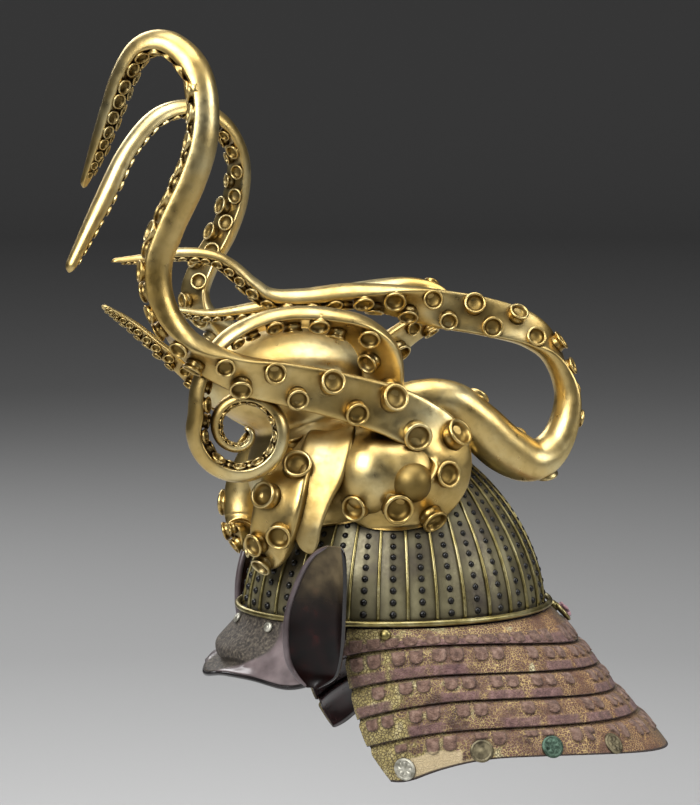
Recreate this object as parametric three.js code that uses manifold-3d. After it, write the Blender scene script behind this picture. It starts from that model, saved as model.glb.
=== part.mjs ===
// Kabuto: a ribbed iron samurai helmet bowl with its peak, turned-back side wings and a flared
// five-lame neck guard, carrying a gilded octopus whose eight arms coil over and above the bowl.
// Millimetres. +Z is up, -Y is the front, +X is the wearer's left.
// The origin is the centre of the bowl's rim, where the helmet sits on the head.
import * as THREE from "three";
import { mergeVertices } from "three/addons/utils/BufferGeometryUtils.js";
import Module from "manifold-3d";

const wasm = await Module();
wasm.setup();

// ---------------------------------------------------------------- driving dimensions
const GAP = 0.5; // air between neighbouring pieces

const BOWL = {
  side: 103, // half width at the rim
  length: 120, // half length at the rim
  height: 138,
  wall: 3,
  ribs: 32,
  ribHeight: 2.2,
  ribHalfAngle: 0.014, // radians to each foot of a rib
  fullness: 1.7, // exponents of the dome's profile
  roundness: 0.6,
};
const RIM_BEAD = { side: 108, length: 125.5, radius: 2.3 };
const BAND = { wall: 2, top: -0.5, bottom: -14 }; // the band under the bowl
const PEAK = {
  span: 0.96, // radians each side of the front
  top: -3.4,
  drop: 42,
  reach: 26,
  wall: 2.6,
  beak: 5, // how far the middle of the edge dips and stands out
  cheekDip: 8, // how far the edge dips over each temple
  cheekAngle: 0.78,
  edgeRadius: 1.9,
};
const PEAK_RIVET = { radius: 4.2, height: 2.4, angle: 0.47 };

// The neck guard's edges from the rim down to the hem. Each edge is half an ellipse behind
// its centre and part of another in front of it, and ends at `end` degrees from the rear.
const SKIRT = [
  { centre: 0, side: 107, rear: 125, front: 124, zRear: -4, zSide: -4, zFront: -4, end: 118 },
  { centre: 14, side: 115, rear: 149, front: 126, zRear: -32, zSide: -16, zFront: -26, end: 126 },
  { centre: 26, side: 124, rear: 164, front: 128, zRear: -50, zSide: -38, zFront: -52, end: 130 },
  { centre: 38, side: 133, rear: 178, front: 130, zRear: -70, zSide: -57, zFront: -76, end: 133 },
  { centre: 49, side: 142, rear: 196, front: 131, zRear: -88, zSide: -78, zFront: -97, end: 135 },
  { centre: 60, side: 150, rear: 223, front: 130, zRear: -119, zSide: -100, zFront: -131, end: 132 },
];
const HEM_CORNER = { share: 0.08, rise: 8 }; // the hem's front corners are rounded off
const LAME = { wall: 2.2, tuck: 3.2, overlap: 0.1, shoulder: 0.06, swell: 1.2, steps: 16 };
const MEDALLION = { radius: 9, height: 1.8, level: 4.7, angles: [124, 98, 76, 54] };
const SIDE_KNOB = { radius: 4.2, height: 3.2, level: 0.3, degrees: 111 };

// The wings: a leaf at several heights, from its leading bend to its free edge.
const WING = [
  { z: 67, bendX: 131, bendY: -82, freeX: 139, freeY: -73, hollow: 1 },
  { z: 58, bendX: 117, bendY: -90, freeX: 139, freeY: -71, hollow: 4 },
  { z: 42, bendX: 108, bendY: -98, freeX: 138, freeY: -70, hollow: 7 },
  { z: 14, bendX: 103, bendY: -107, freeX: 135, freeY: -70, hollow: 9 },
  { z: -8, bendX: 103, bendY: -109, freeX: 131, freeY: -70, hollow: 9 },
  { z: -26, bendX: 103, bendY: -107, freeX: 125, freeY: -71, hollow: 7 },
  { z: -38, bendX: 104, bendY: -101, freeX: 119, freeY: -74, hollow: 4 },
  { z: -47, bendX: 107, bendY: -93, freeX: 112, freeY: -85, hollow: 1 },
];
const WING_WALL = 2.6;
const WING_TAB = { top: -7, bottom: -24 };

// The ring behind the bowl's rim and the stud that it hangs from.
const REAR_STUD = { radius: 4.2, height: 5, level: 0.2, off: 1.6 };
const REAR_RING = { radius: 8.5, wire: 1.6, level: 0.42, off: 4.6 };

// The octopus's head as overlapping ellipsoids.
const HEAD = [
  { at: [0, -82, 182], half: [58, 76, 41] }, // the mantle, hanging forward of the bowl
  { at: [0, -34, 108], half: [80, 84, 66] }, // the crown of the bowl, hugged by the head
  { at: [68, -9, 108], half: [27, 28, 27] }, // a mound under each eye
  { at: [-68, -9, 108], half: [27, 28, 27] },
  { at: [88, -7, 106], half: [15, 14, 15] }, // the eyeballs
  { at: [-88, -7, 106], half: [15, 14, 15] },
];

// Arm routes from root to tip. Columns: x, y, z of the middle of the arm, its half width,
// and the direction that its sucker face looks in.
const CURL_ROOT = [
  [38, -52, 146, 15, 0.4, -0.8, 0.3],
  [62, -49, 132, 17, 0.8, -0.5, 0.3],
  [75, -46, 109, 18, 1, -0.3, 0],
  [83, -36, 91, 19, 1, -0.1, -0.5],
  [86, -14, 84, 20, 0.9, 0, -0.6],
  [85, 11, 92, 21, 0.9, 0.4, -0.4],
  [79, 28, 115, 21, 0.8, 0.6, 0.1],
  [76, 20, 140, 21, 0.9, 0.3, 0.3],
  [81, -17, 162, 20, 1, 0, 0.1],
];
const mirrored = (rows) => rows.map(([x, y, z, w, fx, fy, fz]) => [-x, y, z, w, -fx, fy, fz]);
const LEFT_CREST = [
  ...CURL_ROOT,
  [86, -58, 176, 18.5, 1, 0, 0],
  [90, -102, 187, 17, 1, -0.1, -0.1],
  [92, -146, 197, 15.5, 0.9, -0.3, -0.5],
  [92, -185, 217, 14.5, 0.3, -0.7, -0.7],
  [90, -206, 248, 14.5, -0.2, -0.95, -0.3],
  [88, -210, 281, 15, -0.3, -0.9, 0],
  [89, -200, 312, 15, -0.3, -0.9, 0.2],
  [90, -184, 346, 15, -0.3, -0.9, 0.1],
  [90, -174, 377, 14.5, -0.3, -0.9, 0],
  [86, -172, 409, 13.5, -0.3, -0.9, -0.2],
  [78, -178, 432, 13, -0.3, -0.5, -0.7],
  [66, -193, 446, 12, 0, 0, -1],
  [56, -209, 443, 11.5, 0.45, 0.6, -0.6],
  [50, -221, 425, 11, 0.6, 0.75, -0.3],
  [45, -231, 397, 10, 0.6, 0.75, 0],
  [39, -241, 367, 8, 0.6, 0.75, 0],
  [32, -253, 337, 3.5, 0.6, 0.75, 0],
];
const RIGHT_CREST = [
  ...mirrored(CURL_ROOT),
  [-84, -60, 180, 18, -1, 0, 0],
  [-86, -104, 196, 16, -0.6, -0.3, -0.7],
  [-88, -137, 218, 14, 0.3, -0.7, -0.5],
  [-89, -146, 240, 13, 0.6, -0.8, 0],
  [-91, -138, 264, 12.5, 0.6, -0.8, 0.2],
  [-92, -122, 292, 12.5, 0.5, -0.85, 0.3],
  [-92, -112, 320, 12, 0.5, -0.85, 0],
  [-88, -111, 349, 11, 0.4, -0.9, -0.2],
  [-80, -124, 375, 10, 0.2, -0.6, -0.7],
  [-70, -148, 389, 9.5, 0, 0, -1],
  [-58, -178, 385, 9, -0.2, 0.5, -0.8],
  [-48, -204, 360, 8.5, -0.4, 0.85, -0.4],
  [-40, -226, 320, 8.8, -0.4, 0.9, -0.2],
  [-30, -256, 266, 5, -0.4, 0.9, -0.2],
];
const REAR_LOOP = [
  [26, -34, 152, 18, -0.6, 0, 0.8],
  [38, 2, 163, 19.5, -0.9, 0, 0.4],
  [37, 33, 163, 20, -0.9, 0, 0.4],
  [33, 58, 147, 20, -0.9, 0.3, 0.4],
  [27, 84, 124, 19.5, -0.9, 0.2, 0],
  [18, 111, 113, 18, -0.7, 0.3, -0.6],
  [12, 133, 128, 16, -0.4, 0.8, -0.5],
  [8, 143, 162, 14.5, -0.2, 1, 0],
  [4, 133, 196, 14.5, 0.3, 0.8, 0.4],
  [2, 110, 216, 15, 0.8, 0.2, 0.5],
  [0, 74, 227, 15.5, 1, 0, 0.25],
  [-2, 42, 233, 15.5, 1, 0, 0],
  [-4, 8, 239, 15, 0.8, 0, -0.6],
  [-6, -35, 243, 14, 0.3, 0, -1],
  [-6, -72, 241, 12.5, 0.2, 0, -1],
  [-6, -99, 243, 11, 0.2, -0.3, -1],
  [-6, -116, 254, 10, 0.3, -0.8, -0.6],
  [-6, -131, 268, 9, 0.3, -0.7, -0.7],
  [-6, -147, 277, 8, 0.2, -0.4, -0.9],
  [-6, -171, 280, 7, 0.1, 0, -1],
  [-6, -199, 277, 5.5, 0.1, 0.1, -1],
  [-6, -226, 276, 2.8, 0.1, 0, -1],
];
const RIGHT_LOOP = [
  [-30, -22, 140, 15, 0, 0.6, 0.6],
  [-50, -6, 166, 14.5, 0.6, 0.8, -0.1],
  [-60, 2, 190, 14, 0.7, 0.6, -0.3],
  [-64, 26, 208, 13, 0.8, 0.2, -0.5],
  [-72, 50, 219, 12, 0.6, 0.6, -0.5],
  [-86, 62, 231, 11.5, 0, 1, 0.2],
  [-97, 44, 239, 11, -0.8, 0.4, 0.4],
  [-92, 4, 240, 10.5, -0.7, 0, -0.7],
  [-80, -46, 236, 9.5, -0.2, 0, -1],
  [-68, -95, 230, 8.5, 0, 0, -1],
  [-60, -136, 226, 7, 0.2, 0, -1],
  [-54, -164, 230, 5.5, 0.2, 0, -1],
  [-49, -187, 233, 2.8, 0.2, 0, -1],
];
// The flat coil at the end of one arm, in degrees from straight behind its middle.
const COIL = { at: [75, -137, 151], radius: 33.5, from: 160, to: 765, step: 22 };
const COIL_HALF = { root: 12, tip: 2.6 };
const COIL_ACROSS = new THREE.Vector3(0.208, 0.978, 0); // the coil is turned a little outwards
const LEFT_COIL = [
  [40, -22, 150, 16, 0.6, -0.8, 0],
  [54, -22, 176, 17, 0.8, -0.6, 0],
  [62, -25, 203, 17, 0.8, -0.5, -0.2],
  [66, -41, 222, 15.5, 0.6, -0.4, -0.7],
  [68, -66, 231, 14, 0.4, -0.1, -0.9],
  [68, -97, 234, 13, 0.35, 0, -0.9],
  [68, -125, 229, 12, 0.3, 0.4, -0.85],
  [68, -147, 217, 11.5, 0.2, 0.7, -0.7],
  [69, -160, 200, 11, 0.2, 0.9, -0.4],
  [69, -167, 182, 11, 0.2, 0.95, -0.2],
  ...coilRows(),
];
const RIGHT_REACH = [
  [-32, -66, 124, 14, 0.3, -0.7, 0.5],
  [-44, -92, 136, 13, 0.4, -0.7, -0.4],
  [-50, -120, 151, 12, 0.5, -0.55, -0.65],
  [-52, -144, 169, 10.5, 0.5, -0.55, -0.65],
  [-52, -164, 187, 9, 0.5, -0.55, -0.65],
  [-50, -184, 204, 7.5, 0.5, -0.55, -0.65],
  [-46, -205, 222, 6, 0.5, -0.5, -0.7],
  [-42, -228, 238, 2.8, 0.5, -0.5, -0.7],
];
const LEFT_BROW = [
  [34, -66, 134, 15, 0.5, -0.3, 0.8],
  [54, -88, 124, 19, 0.7, -0.5, 0.5],
  [67, -98, 98, 21, 0.8, -0.6, 0.1],
  [67, -106, 74, 20, 0.75, -0.65, -0.1],
  [58, -113, 56, 17, 0.5, -0.7, -0.5],
  [44, -118, 50, 13, 0.1, -0.85, -0.5],
  [32, -120, 58, 8, -0.6, -0.75, 0],
];
const LEFT_WEB = [
  [40, -54, 150, 15, 0.4, -0.3, 0.8],
  [61, -64, 142, 19, 0.8, -0.45, 0.4],
  [71, -74, 118, 20, 0.9, -0.45, 0.2],
  [76, -82, 97, 16, 0.9, -0.5, 0.1],
  [79, -87, 76, 12.5, 0.85, -0.55, 0],
  [80, -86, 62, 9, 0.85, -0.6, 0],
  [80, -84, 53, 3, 0.85, -0.6, 0],
];

// Each arm: its route, how deep its back and face are as shares of its half width, and the
// share of its route, from the root, that stays bare of suckers.
const ARMS = {
  arm_left_crest: { route: LEFT_CREST, back: 1.1, face: 0.3, bare: 0.03 },
  arm_right_crest: { route: RIGHT_CREST, back: 1, face: 0.3, bare: 0.03 },
  arm_left_coil: { route: LEFT_COIL, back: 0.9, face: 0.25, bare: 0.07 },
  arm_rear_loop: { route: REAR_LOOP, back: 0.9, face: 0.3, bare: 0.14 },
  arm_right_loop: { route: RIGHT_LOOP, back: 0.8, face: 0.3, bare: 0.1 },
  arm_right_reach: { route: RIGHT_REACH, back: 0.8, face: 0.3, bare: 0.12 },
  arm_left_brow: { route: LEFT_BROW, back: 1.1, face: 0.5, bare: 0.15 },
  arm_right_brow: { route: mirrored(LEFT_BROW), back: 1.1, face: 0.5, bare: 0.15 },
  web_left: { route: LEFT_WEB, back: 0.5, face: 0.3 },
  web_right: { route: mirrored(LEFT_WEB), back: 0.5, face: 0.3 },
};
const ARM_PACE = { length: 38, turn: 0.5 }; // an arm's next section comes after either
const ARM_SIDES = 6;
const SUCKER = {
  across: 0.46, // place across the arm, as a share of the half width
  radius: 0.46,
  height: 0.3,
  foot: 0.72, // the foot's radius as a share of the lip's
  pitchRoot: 1.25, // spacing along the arm, as shares of the half width
  pitchTip: 0.75,
  sides: 5,
  smallest: 8.6, // suckers under this radius aren't made here
};

// ---------------------------------------------------------------- closed meshes and solids
// A solid from rings of equal count: a skin between neighbours and a fan over each end.
function loft(rings) {
  const n = rings[0].length;
  const points = rings.flat();
  const faces = [];
  for (let i = 0; i + 1 < rings.length; i++)
    for (let j = 0; j < n; j++) {
      const a = i * n + j;
      const b = i * n + ((j + 1) % n);
      faces.push(a, b, a + n, b, b + n, a + n);
    }
  for (const first of [0, rings.length - 1]) {
    const centre = points.length;
    const ring = rings[first];
    points.push(ring.reduce((s, p) => s.clone().add(p)).divideScalar(n));
    for (let j = 0; j < n; j++) {
      const a = first * n + j;
      const b = first * n + ((j + 1) % n);
      faces.push(...(first ? [a, b, centre] : [b, a, centre]));
    }
  }
  const solid = toSolid(points, faces);
  return solid.volume() > 0 ? solid : toSolid(points, faces.reverse());
}

function toSolid(points, faces) {
  return new wasm.Manifold(
    new wasm.Mesh({
      numProp: 3,
      vertProperties: new Float32Array(points.flatMap((p) => p.toArray())),
      triVerts: new Uint32Array(faces),
    }),
  );
}

// A three.js geometry as a solid.
function solidOf(geometry) {
  geometry.deleteAttribute("normal");
  geometry.deleteAttribute("uv");
  const merged = mergeVertices(geometry, 1e-4);
  return new wasm.Manifold(
    new wasm.Mesh({
      numProp: 3,
      vertProperties: merged.attributes.position.array,
      triVerts: new Uint32Array(merged.index.array),
    }),
  );
}

function toGeometry(solid) {
  const mesh = solid.getMesh();
  return new THREE.BufferGeometry()
    .setAttribute("position", new THREE.BufferAttribute(mesh.vertProperties, 3))
    .setIndex(new THREE.BufferAttribute(mesh.triVerts, 1));
}

// The biggest body of a cut solid, without the crumbs.
const biggest = (solid) => solid.decompose().reduce((a, b) => (a.volume() > b.volume() ? a : b));

function ellipsoid({ at, half }, grow) {
  const coarse = Math.max(...half) < 40;
  const ball = coarse ? new THREE.SphereGeometry(1, 10, 7) : new THREE.SphereGeometry(1, 16, 10);
  ball.scale(half[0] + grow, half[1] + grow, half[2] + grow);
  ball.translate(...at);
  return solidOf(ball);
}

// ---------------------------------------------------------------- bowl
// The dome's radius at height z, as a share of the radius at the rim.
function domeShare(z, height) {
  const t = Math.min(1, Math.max(0, z / height));
  return (1 - t ** BOWL.fullness) ** BOWL.roundness;
}

function domeRing(z, grow, turns) {
  const share = domeShare(z, BOWL.height + grow);
  return turns.map(({ angle, out }) => {
    const side = (BOWL.side + grow) * share + out * Math.sqrt(share);
    const length = (BOWL.length + grow) * share + out * Math.sqrt(share);
    return new THREE.Vector3(side * Math.sin(angle), -length * Math.cos(angle), z);
  });
}

const DOME_LEVELS = [0, 0.3, 0.56, 0.77, 0.91, 0.985];
function dome(grow, turns, below = 0) {
  const height = BOWL.height + grow;
  const rings = DOME_LEVELS.map((t) => domeRing(t * height, grow, turns));
  if (below) rings.unshift(rings[0].map((p) => new THREE.Vector3(p.x, p.y, -below)));
  return loft(rings);
}

function plainTurns(count) {
  return Array.from({ length: count }, (_, i) => ({ angle: (i / count) * 2 * Math.PI, out: 0 }));
}

function ribbedTurns() {
  const turns = [];
  for (let i = 0; i < BOWL.ribs; i++) {
    const angle = ((i + 0.5) / BOWL.ribs) * 2 * Math.PI;
    turns.push({ angle: angle - BOWL.ribHalfAngle, out: 0 });
    turns.push({ angle, out: BOWL.ribHeight });
    turns.push({ angle: angle + BOWL.ribHalfAngle, out: 0 });
  }
  return turns;
}

const bowl = dome(0, ribbedTurns()).subtract(dome(-BOWL.wall, plainTurns(24), 5));
const bowlClear = dome(BOWL.ribHeight + 1.2, plainTurns(28), 40); // its flats clear the ribs too

// The bead's route round the foot of the bowl.
function rimPath() {
  return new THREE.CatmullRomCurve3(
    plainTurns(24).map(
      ({ angle }) =>
        new THREE.Vector3(RIM_BEAD.side * Math.sin(angle), -RIM_BEAD.length * Math.cos(angle), 0),
    ),
    true,
  );
}

// Rings carried round a closed path, joined end to end.
function bead(path) {
  const around = 28;
  const sides = 5;
  const points = [];
  const faces = [];
  for (let i = 0; i < around; i++) {
    const at = path.getPointAt(i / around);
    const along = path.getTangentAt(i / around);
    const out = new THREE.Vector3(-along.y, along.x, 0).negate();
    for (let j = 0; j < sides; j++) {
      const a = (j / sides) * 2 * Math.PI;
      points.push(
        at.x + out.x * RIM_BEAD.radius * Math.cos(a),
        at.y + out.y * RIM_BEAD.radius * Math.cos(a),
        at.z + RIM_BEAD.radius * Math.sin(a),
      );
      const p = i * sides + j;
      const q = i * sides + ((j + 1) % sides);
      const p2 = ((i + 1) % around) * sides + j;
      const q2 = ((i + 1) % around) * sides + ((j + 1) % sides);
      faces.push(p, p2, q, q, p2, q2);
    }
  }
  return new THREE.BufferGeometry()
    .setAttribute("position", new THREE.Float32BufferAttribute(points, 3))
    .setIndex(faces);
}

function band() {
  const turns = plainTurns(24);
  const wall = (grow, top, bottom) =>
    loft(
      [bottom, top].map((z) =>
        turns.map(
          ({ angle }) =>
            new THREE.Vector3(
              (BOWL.side + grow) * Math.sin(angle),
              -(BOWL.length + grow) * Math.cos(angle),
              z,
            ),
        ),
      ),
    );
  return wall(0, BAND.top, BAND.bottom).subtract(wall(-BAND.wall, BAND.top + 1, BAND.bottom - 1));
}

// ---------------------------------------------------------------- peak
// A point of the peak: angle from the front, s from 0 at the bowl to 1 at the edge, and out
// along the outward normal in plan.
function peakPoint(angle, s, out = 0) {
  const beak = Math.exp(-((angle / 0.16) ** 2));
  const cheek = Math.exp(-(((Math.abs(angle) - PEAK.cheekAngle) / 0.2) ** 2));
  const fade = Math.cos((angle / PEAK.span) * 0.42 * Math.PI) ** 0.5;
  const reach = 1.2 + PEAK.reach * s ** 1.7 * (0.5 + 0.5 * fade) + PEAK.beak * beak * s ** 4 + out;
  const drop = PEAK.drop * s * (0.55 + 0.45 * fade) + (PEAK.beak * beak + PEAK.cheekDip * cheek) * s ** 2;
  const nx = Math.sin(angle) * BOWL.length;
  const ny = -Math.cos(angle) * BOWL.side;
  const n = Math.hypot(nx, ny);
  return new THREE.Vector3(
    BOWL.side * Math.sin(angle) + (nx / n) * reach,
    -BOWL.length * Math.cos(angle) + (ny / n) * reach,
    PEAK.top - drop,
  );
}

const PEAK_STEPS = 18;
const PEAK_ROWS = [0, 0.26, 0.52, 0.78, 1];
function peakAngles() {
  return Array.from({ length: PEAK_STEPS + 1 }, (_, i) => PEAK.span * ((2 * i) / PEAK_STEPS - 1));
}

function peak() {
  return loft(
    peakAngles().map((angle) => [
      ...PEAK_ROWS.map((s) => peakPoint(angle, s, PEAK.wall)),
      ...[...PEAK_ROWS].reverse().map((s) => peakPoint(angle, s)),
    ]),
  );
}

// The rolled edging that runs just under the peak's edge.
function peakEdging() {
  const sides = 5;
  return loft(
    peakAngles().map((angle) => {
      const at = peakPoint(angle, 1, PEAK.wall / 2);
      const flat = new THREE.Vector3(at.x, at.y, 0).normalize();
      at.z -= PEAK.edgeRadius + GAP;
      return Array.from({ length: sides }, (_, j) => {
        const a = (j / sides) * 2 * Math.PI;
        return at
          .clone()
          .addScaledVector(flat, PEAK.edgeRadius * Math.cos(a))
          .add(new THREE.Vector3(0, 0, PEAK.edgeRadius * Math.sin(a)));
      });
    }),
  );
}

// A low round stud standing on a surface point.
function stud(at, normal, radius, height, sides = 6) {
  const turn = new THREE.Quaternion().setFromUnitVectors(
    new THREE.Vector3(0, 0, 1),
    normal.clone().normalize(),
  );
  const profile = [
    [radius, 0],
    [radius, height * 0.45],
    [radius * 0.6, height],
  ];
  return loft(
    profile.map(([r, h]) =>
      Array.from({ length: sides }, (_, j) => {
        const a = (j / sides) * 2 * Math.PI;
        return new THREE.Vector3(r * Math.cos(a), r * Math.sin(a), h).applyQuaternion(turn).add(at);
      }),
    ),
  );
}

function peakRivet(angle) {
  const s = 0.13;
  const at = peakPoint(angle, s, PEAK.wall);
  const normal = peakPoint(angle, s + 0.05, PEAK.wall)
    .sub(at)
    .cross(peakPoint(angle + 0.05, s, PEAK.wall).sub(at));
  if (normal.y > 0) normal.negate();
  normal.normalize();
  return stud(at.addScaledVector(normal, GAP + 0.8), normal, PEAK_RIVET.radius, PEAK_RIVET.height);
}

// ---------------------------------------------------------------- neck guard
// A point of the neck guard. Level 0 is the rim and 5 the hem; turn runs from -1 at the
// right front end to 1 at the left one.
function skirtPoint(level, turn, out = 0) {
  const i = Math.max(0, Math.min(SKIRT.length - 2, Math.floor(level)));
  const f = level - i;
  const mix = (key) => SKIRT[i][key] * (1 - f) + SKIRT[i + 1][key] * f;
  const degrees = Math.abs(turn) * mix("end");
  const a = (degrees * Math.PI) / 180;
  const behind = degrees < 90;
  const side = mix("side");
  const long = behind ? mix("rear") - mix("centre") : mix("front");
  const x = side * Math.sin(a) * Math.sign(turn || 1);
  const y = mix("centre") + long * Math.cos(a);
  const z = behind
    ? mix("zSide") + (mix("zRear") - mix("zSide")) * Math.cos(a) ** 2
    : mix("zSide") + (mix("zFront") - mix("zSide")) * ((degrees - 90) / (mix("end") - 90)) ** 2;
  const nearEnd = Math.max(0, (Math.abs(turn) - 1 + HEM_CORNER.share) / HEM_CORNER.share);
  const corner = Math.max(0, level - SKIRT.length + 2) * HEM_CORNER.rise * nearEnd ** 2;
  const nx = (long * x) / side;
  const ny = (side * (y - mix("centre"))) / long;
  const n = Math.hypot(nx, ny) || 1;
  return new THREE.Vector3(x + (nx / n) * out, y + (ny / n) * out, z + corner);
}

const lameTurns = Array.from({ length: LAME.steps + 1 }, (_, i) => (2 * i) / LAME.steps - 1);
lameTurns.splice(1, 0, -1 + HEM_CORNER.share / 2);
lameTurns.splice(-1, 0, 1 - HEM_CORNER.share / 2);

function lame(index) {
  const first = index === 0;
  const tuck = first ? 0 : -LAME.tuck;
  const rows = [
    { level: index + 1, out: 0 },
    { level: index + 0.5, out: LAME.swell },
    { level: index + (first ? 0 : LAME.shoulder), out: tuck },
  ];
  if (!first) rows.push({ level: index - LAME.overlap, out: tuck });
  return loft(
    lameTurns.map((turn) => [
      ...rows.map(({ level, out }) => skirtPoint(level, turn, out)),
      ...[...rows].reverse().map(({ level, out }) => skirtPoint(level, turn, out - LAME.wall)),
    ]),
  );
}

// A place on the neck guard and the direction straight out of its surface.
function skirtFace(level, degrees, side) {
  const row = Math.min(SKIRT.length - 1, Math.ceil(level));
  const turn = (degrees / SKIRT[row].end) * side;
  const at = skirtPoint(level, turn);
  const down = skirtPoint(level + 0.1, turn).sub(at);
  const round = skirtPoint(level, turn + 0.02).sub(at);
  const normal = down.cross(round).normalize();
  if (normal.x * at.x + normal.y * (at.y - SKIRT[row].centre) < 0) normal.negate();
  return { at, normal };
}

// A round plate or stud standing on the neck guard.
function skirtStud({ level, degrees, side, radius, height, off }, grow = 0) {
  const { at, normal } = skirtFace(level, degrees, side);
  return stud(at.addScaledVector(normal, off - grow), normal, radius + grow, height + 2 * grow);
}

// The ring lies against the slope of the top lame and passes round its stud.
function rearRing() {
  const { at, normal } = skirtFace(REAR_RING.level, 0, 1);
  const ring = new THREE.TorusGeometry(REAR_RING.radius, REAR_RING.wire, 4, 12);
  const turn = new THREE.Quaternion().setFromUnitVectors(new THREE.Vector3(0, 0, 1), normal);
  ring.applyQuaternion(turn);
  at.addScaledVector(normal, REAR_RING.off);
  ring.translate(at.x, at.y, at.z);
  return biggest(solidOf(ring).subtract(skirtStud({ ...REAR_STUD, degrees: 0, side: 1 }, GAP)));
}

// ---------------------------------------------------------------- wings
function wingPoint(row, s, out) {
  const middle = new THREE.Vector2(row.freeX - row.bendX, row.freeY - row.bendY);
  const across = new THREE.Vector2(-middle.y, middle.x).normalize(); // to the rear and inwards
  const hollow = row.hollow * 4 * s * (1 - s) + out;
  return new THREE.Vector3(
    row.bendX + middle.x * s + across.x * hollow,
    row.bendY + middle.y * s + across.y * hollow,
    row.z,
  );
}

function wing(side) {
  const shares = [0, 0.25, 0.5, 0.75, 1];
  const leaf = loft(
    WING.map((row) => [
      ...shares.map((s) => wingPoint(row, s, 0)),
      ...[...shares].reverse().map((s) => wingPoint(row, s, WING_WALL)),
    ]),
  );
  const route = [
    [106, -62],
    [108, -74],
    [107, -88],
    [103, -104],
  ];
  const tab = loft(
    [WING_TAB.bottom, WING_TAB.top].map((z) => [
      ...route.map(([x, y]) => new THREE.Vector3(x, y, z)),
      ...[...route].reverse().map(([x, y]) => new THREE.Vector3(x + WING_WALL, y, z)),
    ]),
  );
  const solid = leaf.add(tab);
  return side > 0 ? solid : solid.mirror([1, 0, 0]);
}

// ---------------------------------------------------------------- octopus
function coilRows() {
  const rows = [];
  for (let a = COIL.from; a <= COIL.to; a += COIL.step) {
    const share = (a - COIL.from) / (COIL.to - COIL.from);
    const radius = COIL.radius * (1 - share ** 1.6) ** 0.9;
    const cos = Math.cos((a * Math.PI) / 180);
    const sin = Math.sin((a * Math.PI) / 180);
    rows.push([
      COIL.at[0] + radius * cos * COIL_ACROSS.x,
      COIL.at[1] + radius * cos * COIL_ACROSS.y,
      COIL.at[2] + radius * sin,
      COIL_HALF.root + (COIL_HALF.tip - COIL_HALF.root) * share,
      -cos * COIL_ACROSS.x,
      -cos * COIL_ACROSS.y,
      -sin,
    ]);
  }
  return rows;
}

// Evenly spaced sections along a route: place, tangent, face direction, side and half width.
function sections(route, step) {
  const at = (columns) =>
    new THREE.CatmullRomCurve3(
      route.map((r) => new THREE.Vector3(r[columns], r[columns + 1] ?? 0, r[columns + 2] ?? 0)),
      false,
      "catmullrom",
      0.5,
    );
  const places = at(0);
  const faces = at(4);
  const widths = new THREE.SplineCurve(route.map((r, i) => new THREE.Vector2(i, r[3])));
  const length = places.getLength();
  const count = Math.max(4, Math.round(length / step));
  places.arcLengthDivisions = route.length * 20;
  return Array.from({ length: count + 1 }, (_, i) => {
    const t = places.getUtoTmapping(i / count);
    const along = places.getTangent(t).normalize();
    const face = faces.getPoint(t);
    face.addScaledVector(along, -face.dot(along)).normalize();
    return {
      share: i / count,
      length,
      at: places.getPoint(t),
      along,
      face,
      side: along.clone().cross(face),
      half: widths.getPoint(t).y,
    };
  });
}

// Sections that come closer together where the arm bends.
function pacedSections(route) {
  const fine = sections(route, 2);
  const kept = [fine[0]];
  let spent = 0;
  for (let i = 1; i < fine.length - 1; i++) {
    const turned = fine[i].along.angleTo(fine[i - 1].along) + fine[i].face.angleTo(fine[i - 1].face) / 3;
    spent += fine[i].at.distanceTo(fine[i - 1].at) / ARM_PACE.length + turned / ARM_PACE.turn;
    if (spent < 1) continue;
    kept.push(fine[i]);
    spent = 0;
  }
  return [...kept, fine[fine.length - 1]];
}

function armSkin(arm, grow) {
  return loft(
    pacedSections(arm.route).map(({ at, face, side, half }) =>
      Array.from({ length: ARM_SIDES }, (_, j) => {
        const a = (j / ARM_SIDES) * 2 * Math.PI;
        const rise = Math.sin(a);
        const depth = rise > 0 ? arm.face * half * Math.sqrt(rise) : arm.back * half * rise;
        return at
          .clone()
          .addScaledVector(side, (half + grow) * Math.cos(a))
          .addScaledVector(face, depth + grow * rise);
      }),
    ),
  );
}

// Places of the suckers: two staggered rows that close up towards the tip.
function suckerPlaces(arm) {
  if (arm.bare === undefined) return [];
  const fine = sections(arm.route, 2);
  const length = fine[0].length;
  const places = [];
  let along = arm.bare * length;
  let row = 1;
  while (along < 0.985 * length) {
    const share = along / length;
    const section = fine[Math.round(share * (fine.length - 1))];
    places.push({ section, row });
    const pitch = SUCKER.pitchRoot + (SUCKER.pitchTip - SUCKER.pitchRoot) * share;
    along += Math.max(2.5, pitch * section.half);
    row = -row;
  }
  return places;
}

function sucker({ section, row }, arm, grow) {
  const { at, face, side, half } = section;
  const radius = SUCKER.radius * half + grow;
  const foot = arm.face * half * 0.55;
  const lip = arm.face * half + SUCKER.height * half + grow;
  const centre = at.clone().addScaledVector(side, row * SUCKER.across * half);
  const along = side.clone().cross(face);
  return loft(
    [
      [foot, SUCKER.foot * radius],
      [lip, radius],
    ].map(([rise, r]) =>
      Array.from({ length: SUCKER.sides }, (_, j) => {
        const a = (j / SUCKER.sides) * 2 * Math.PI;
        return centre
          .clone()
          .addScaledVector(side, r * Math.cos(a))
          .addScaledVector(along, r * Math.sin(a))
          .addScaledVector(face, rise);
      }),
    ),
  );
}

function armSolid(arm, grow = 0) {
  const cups = suckerPlaces(arm)
    .filter(({ section }) => SUCKER.radius * section.half > SUCKER.smallest)
    .map((place) => sucker(place, arm, grow));
  return wasm.Manifold.union([armSkin(arm, grow), ...cups]);
}

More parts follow.
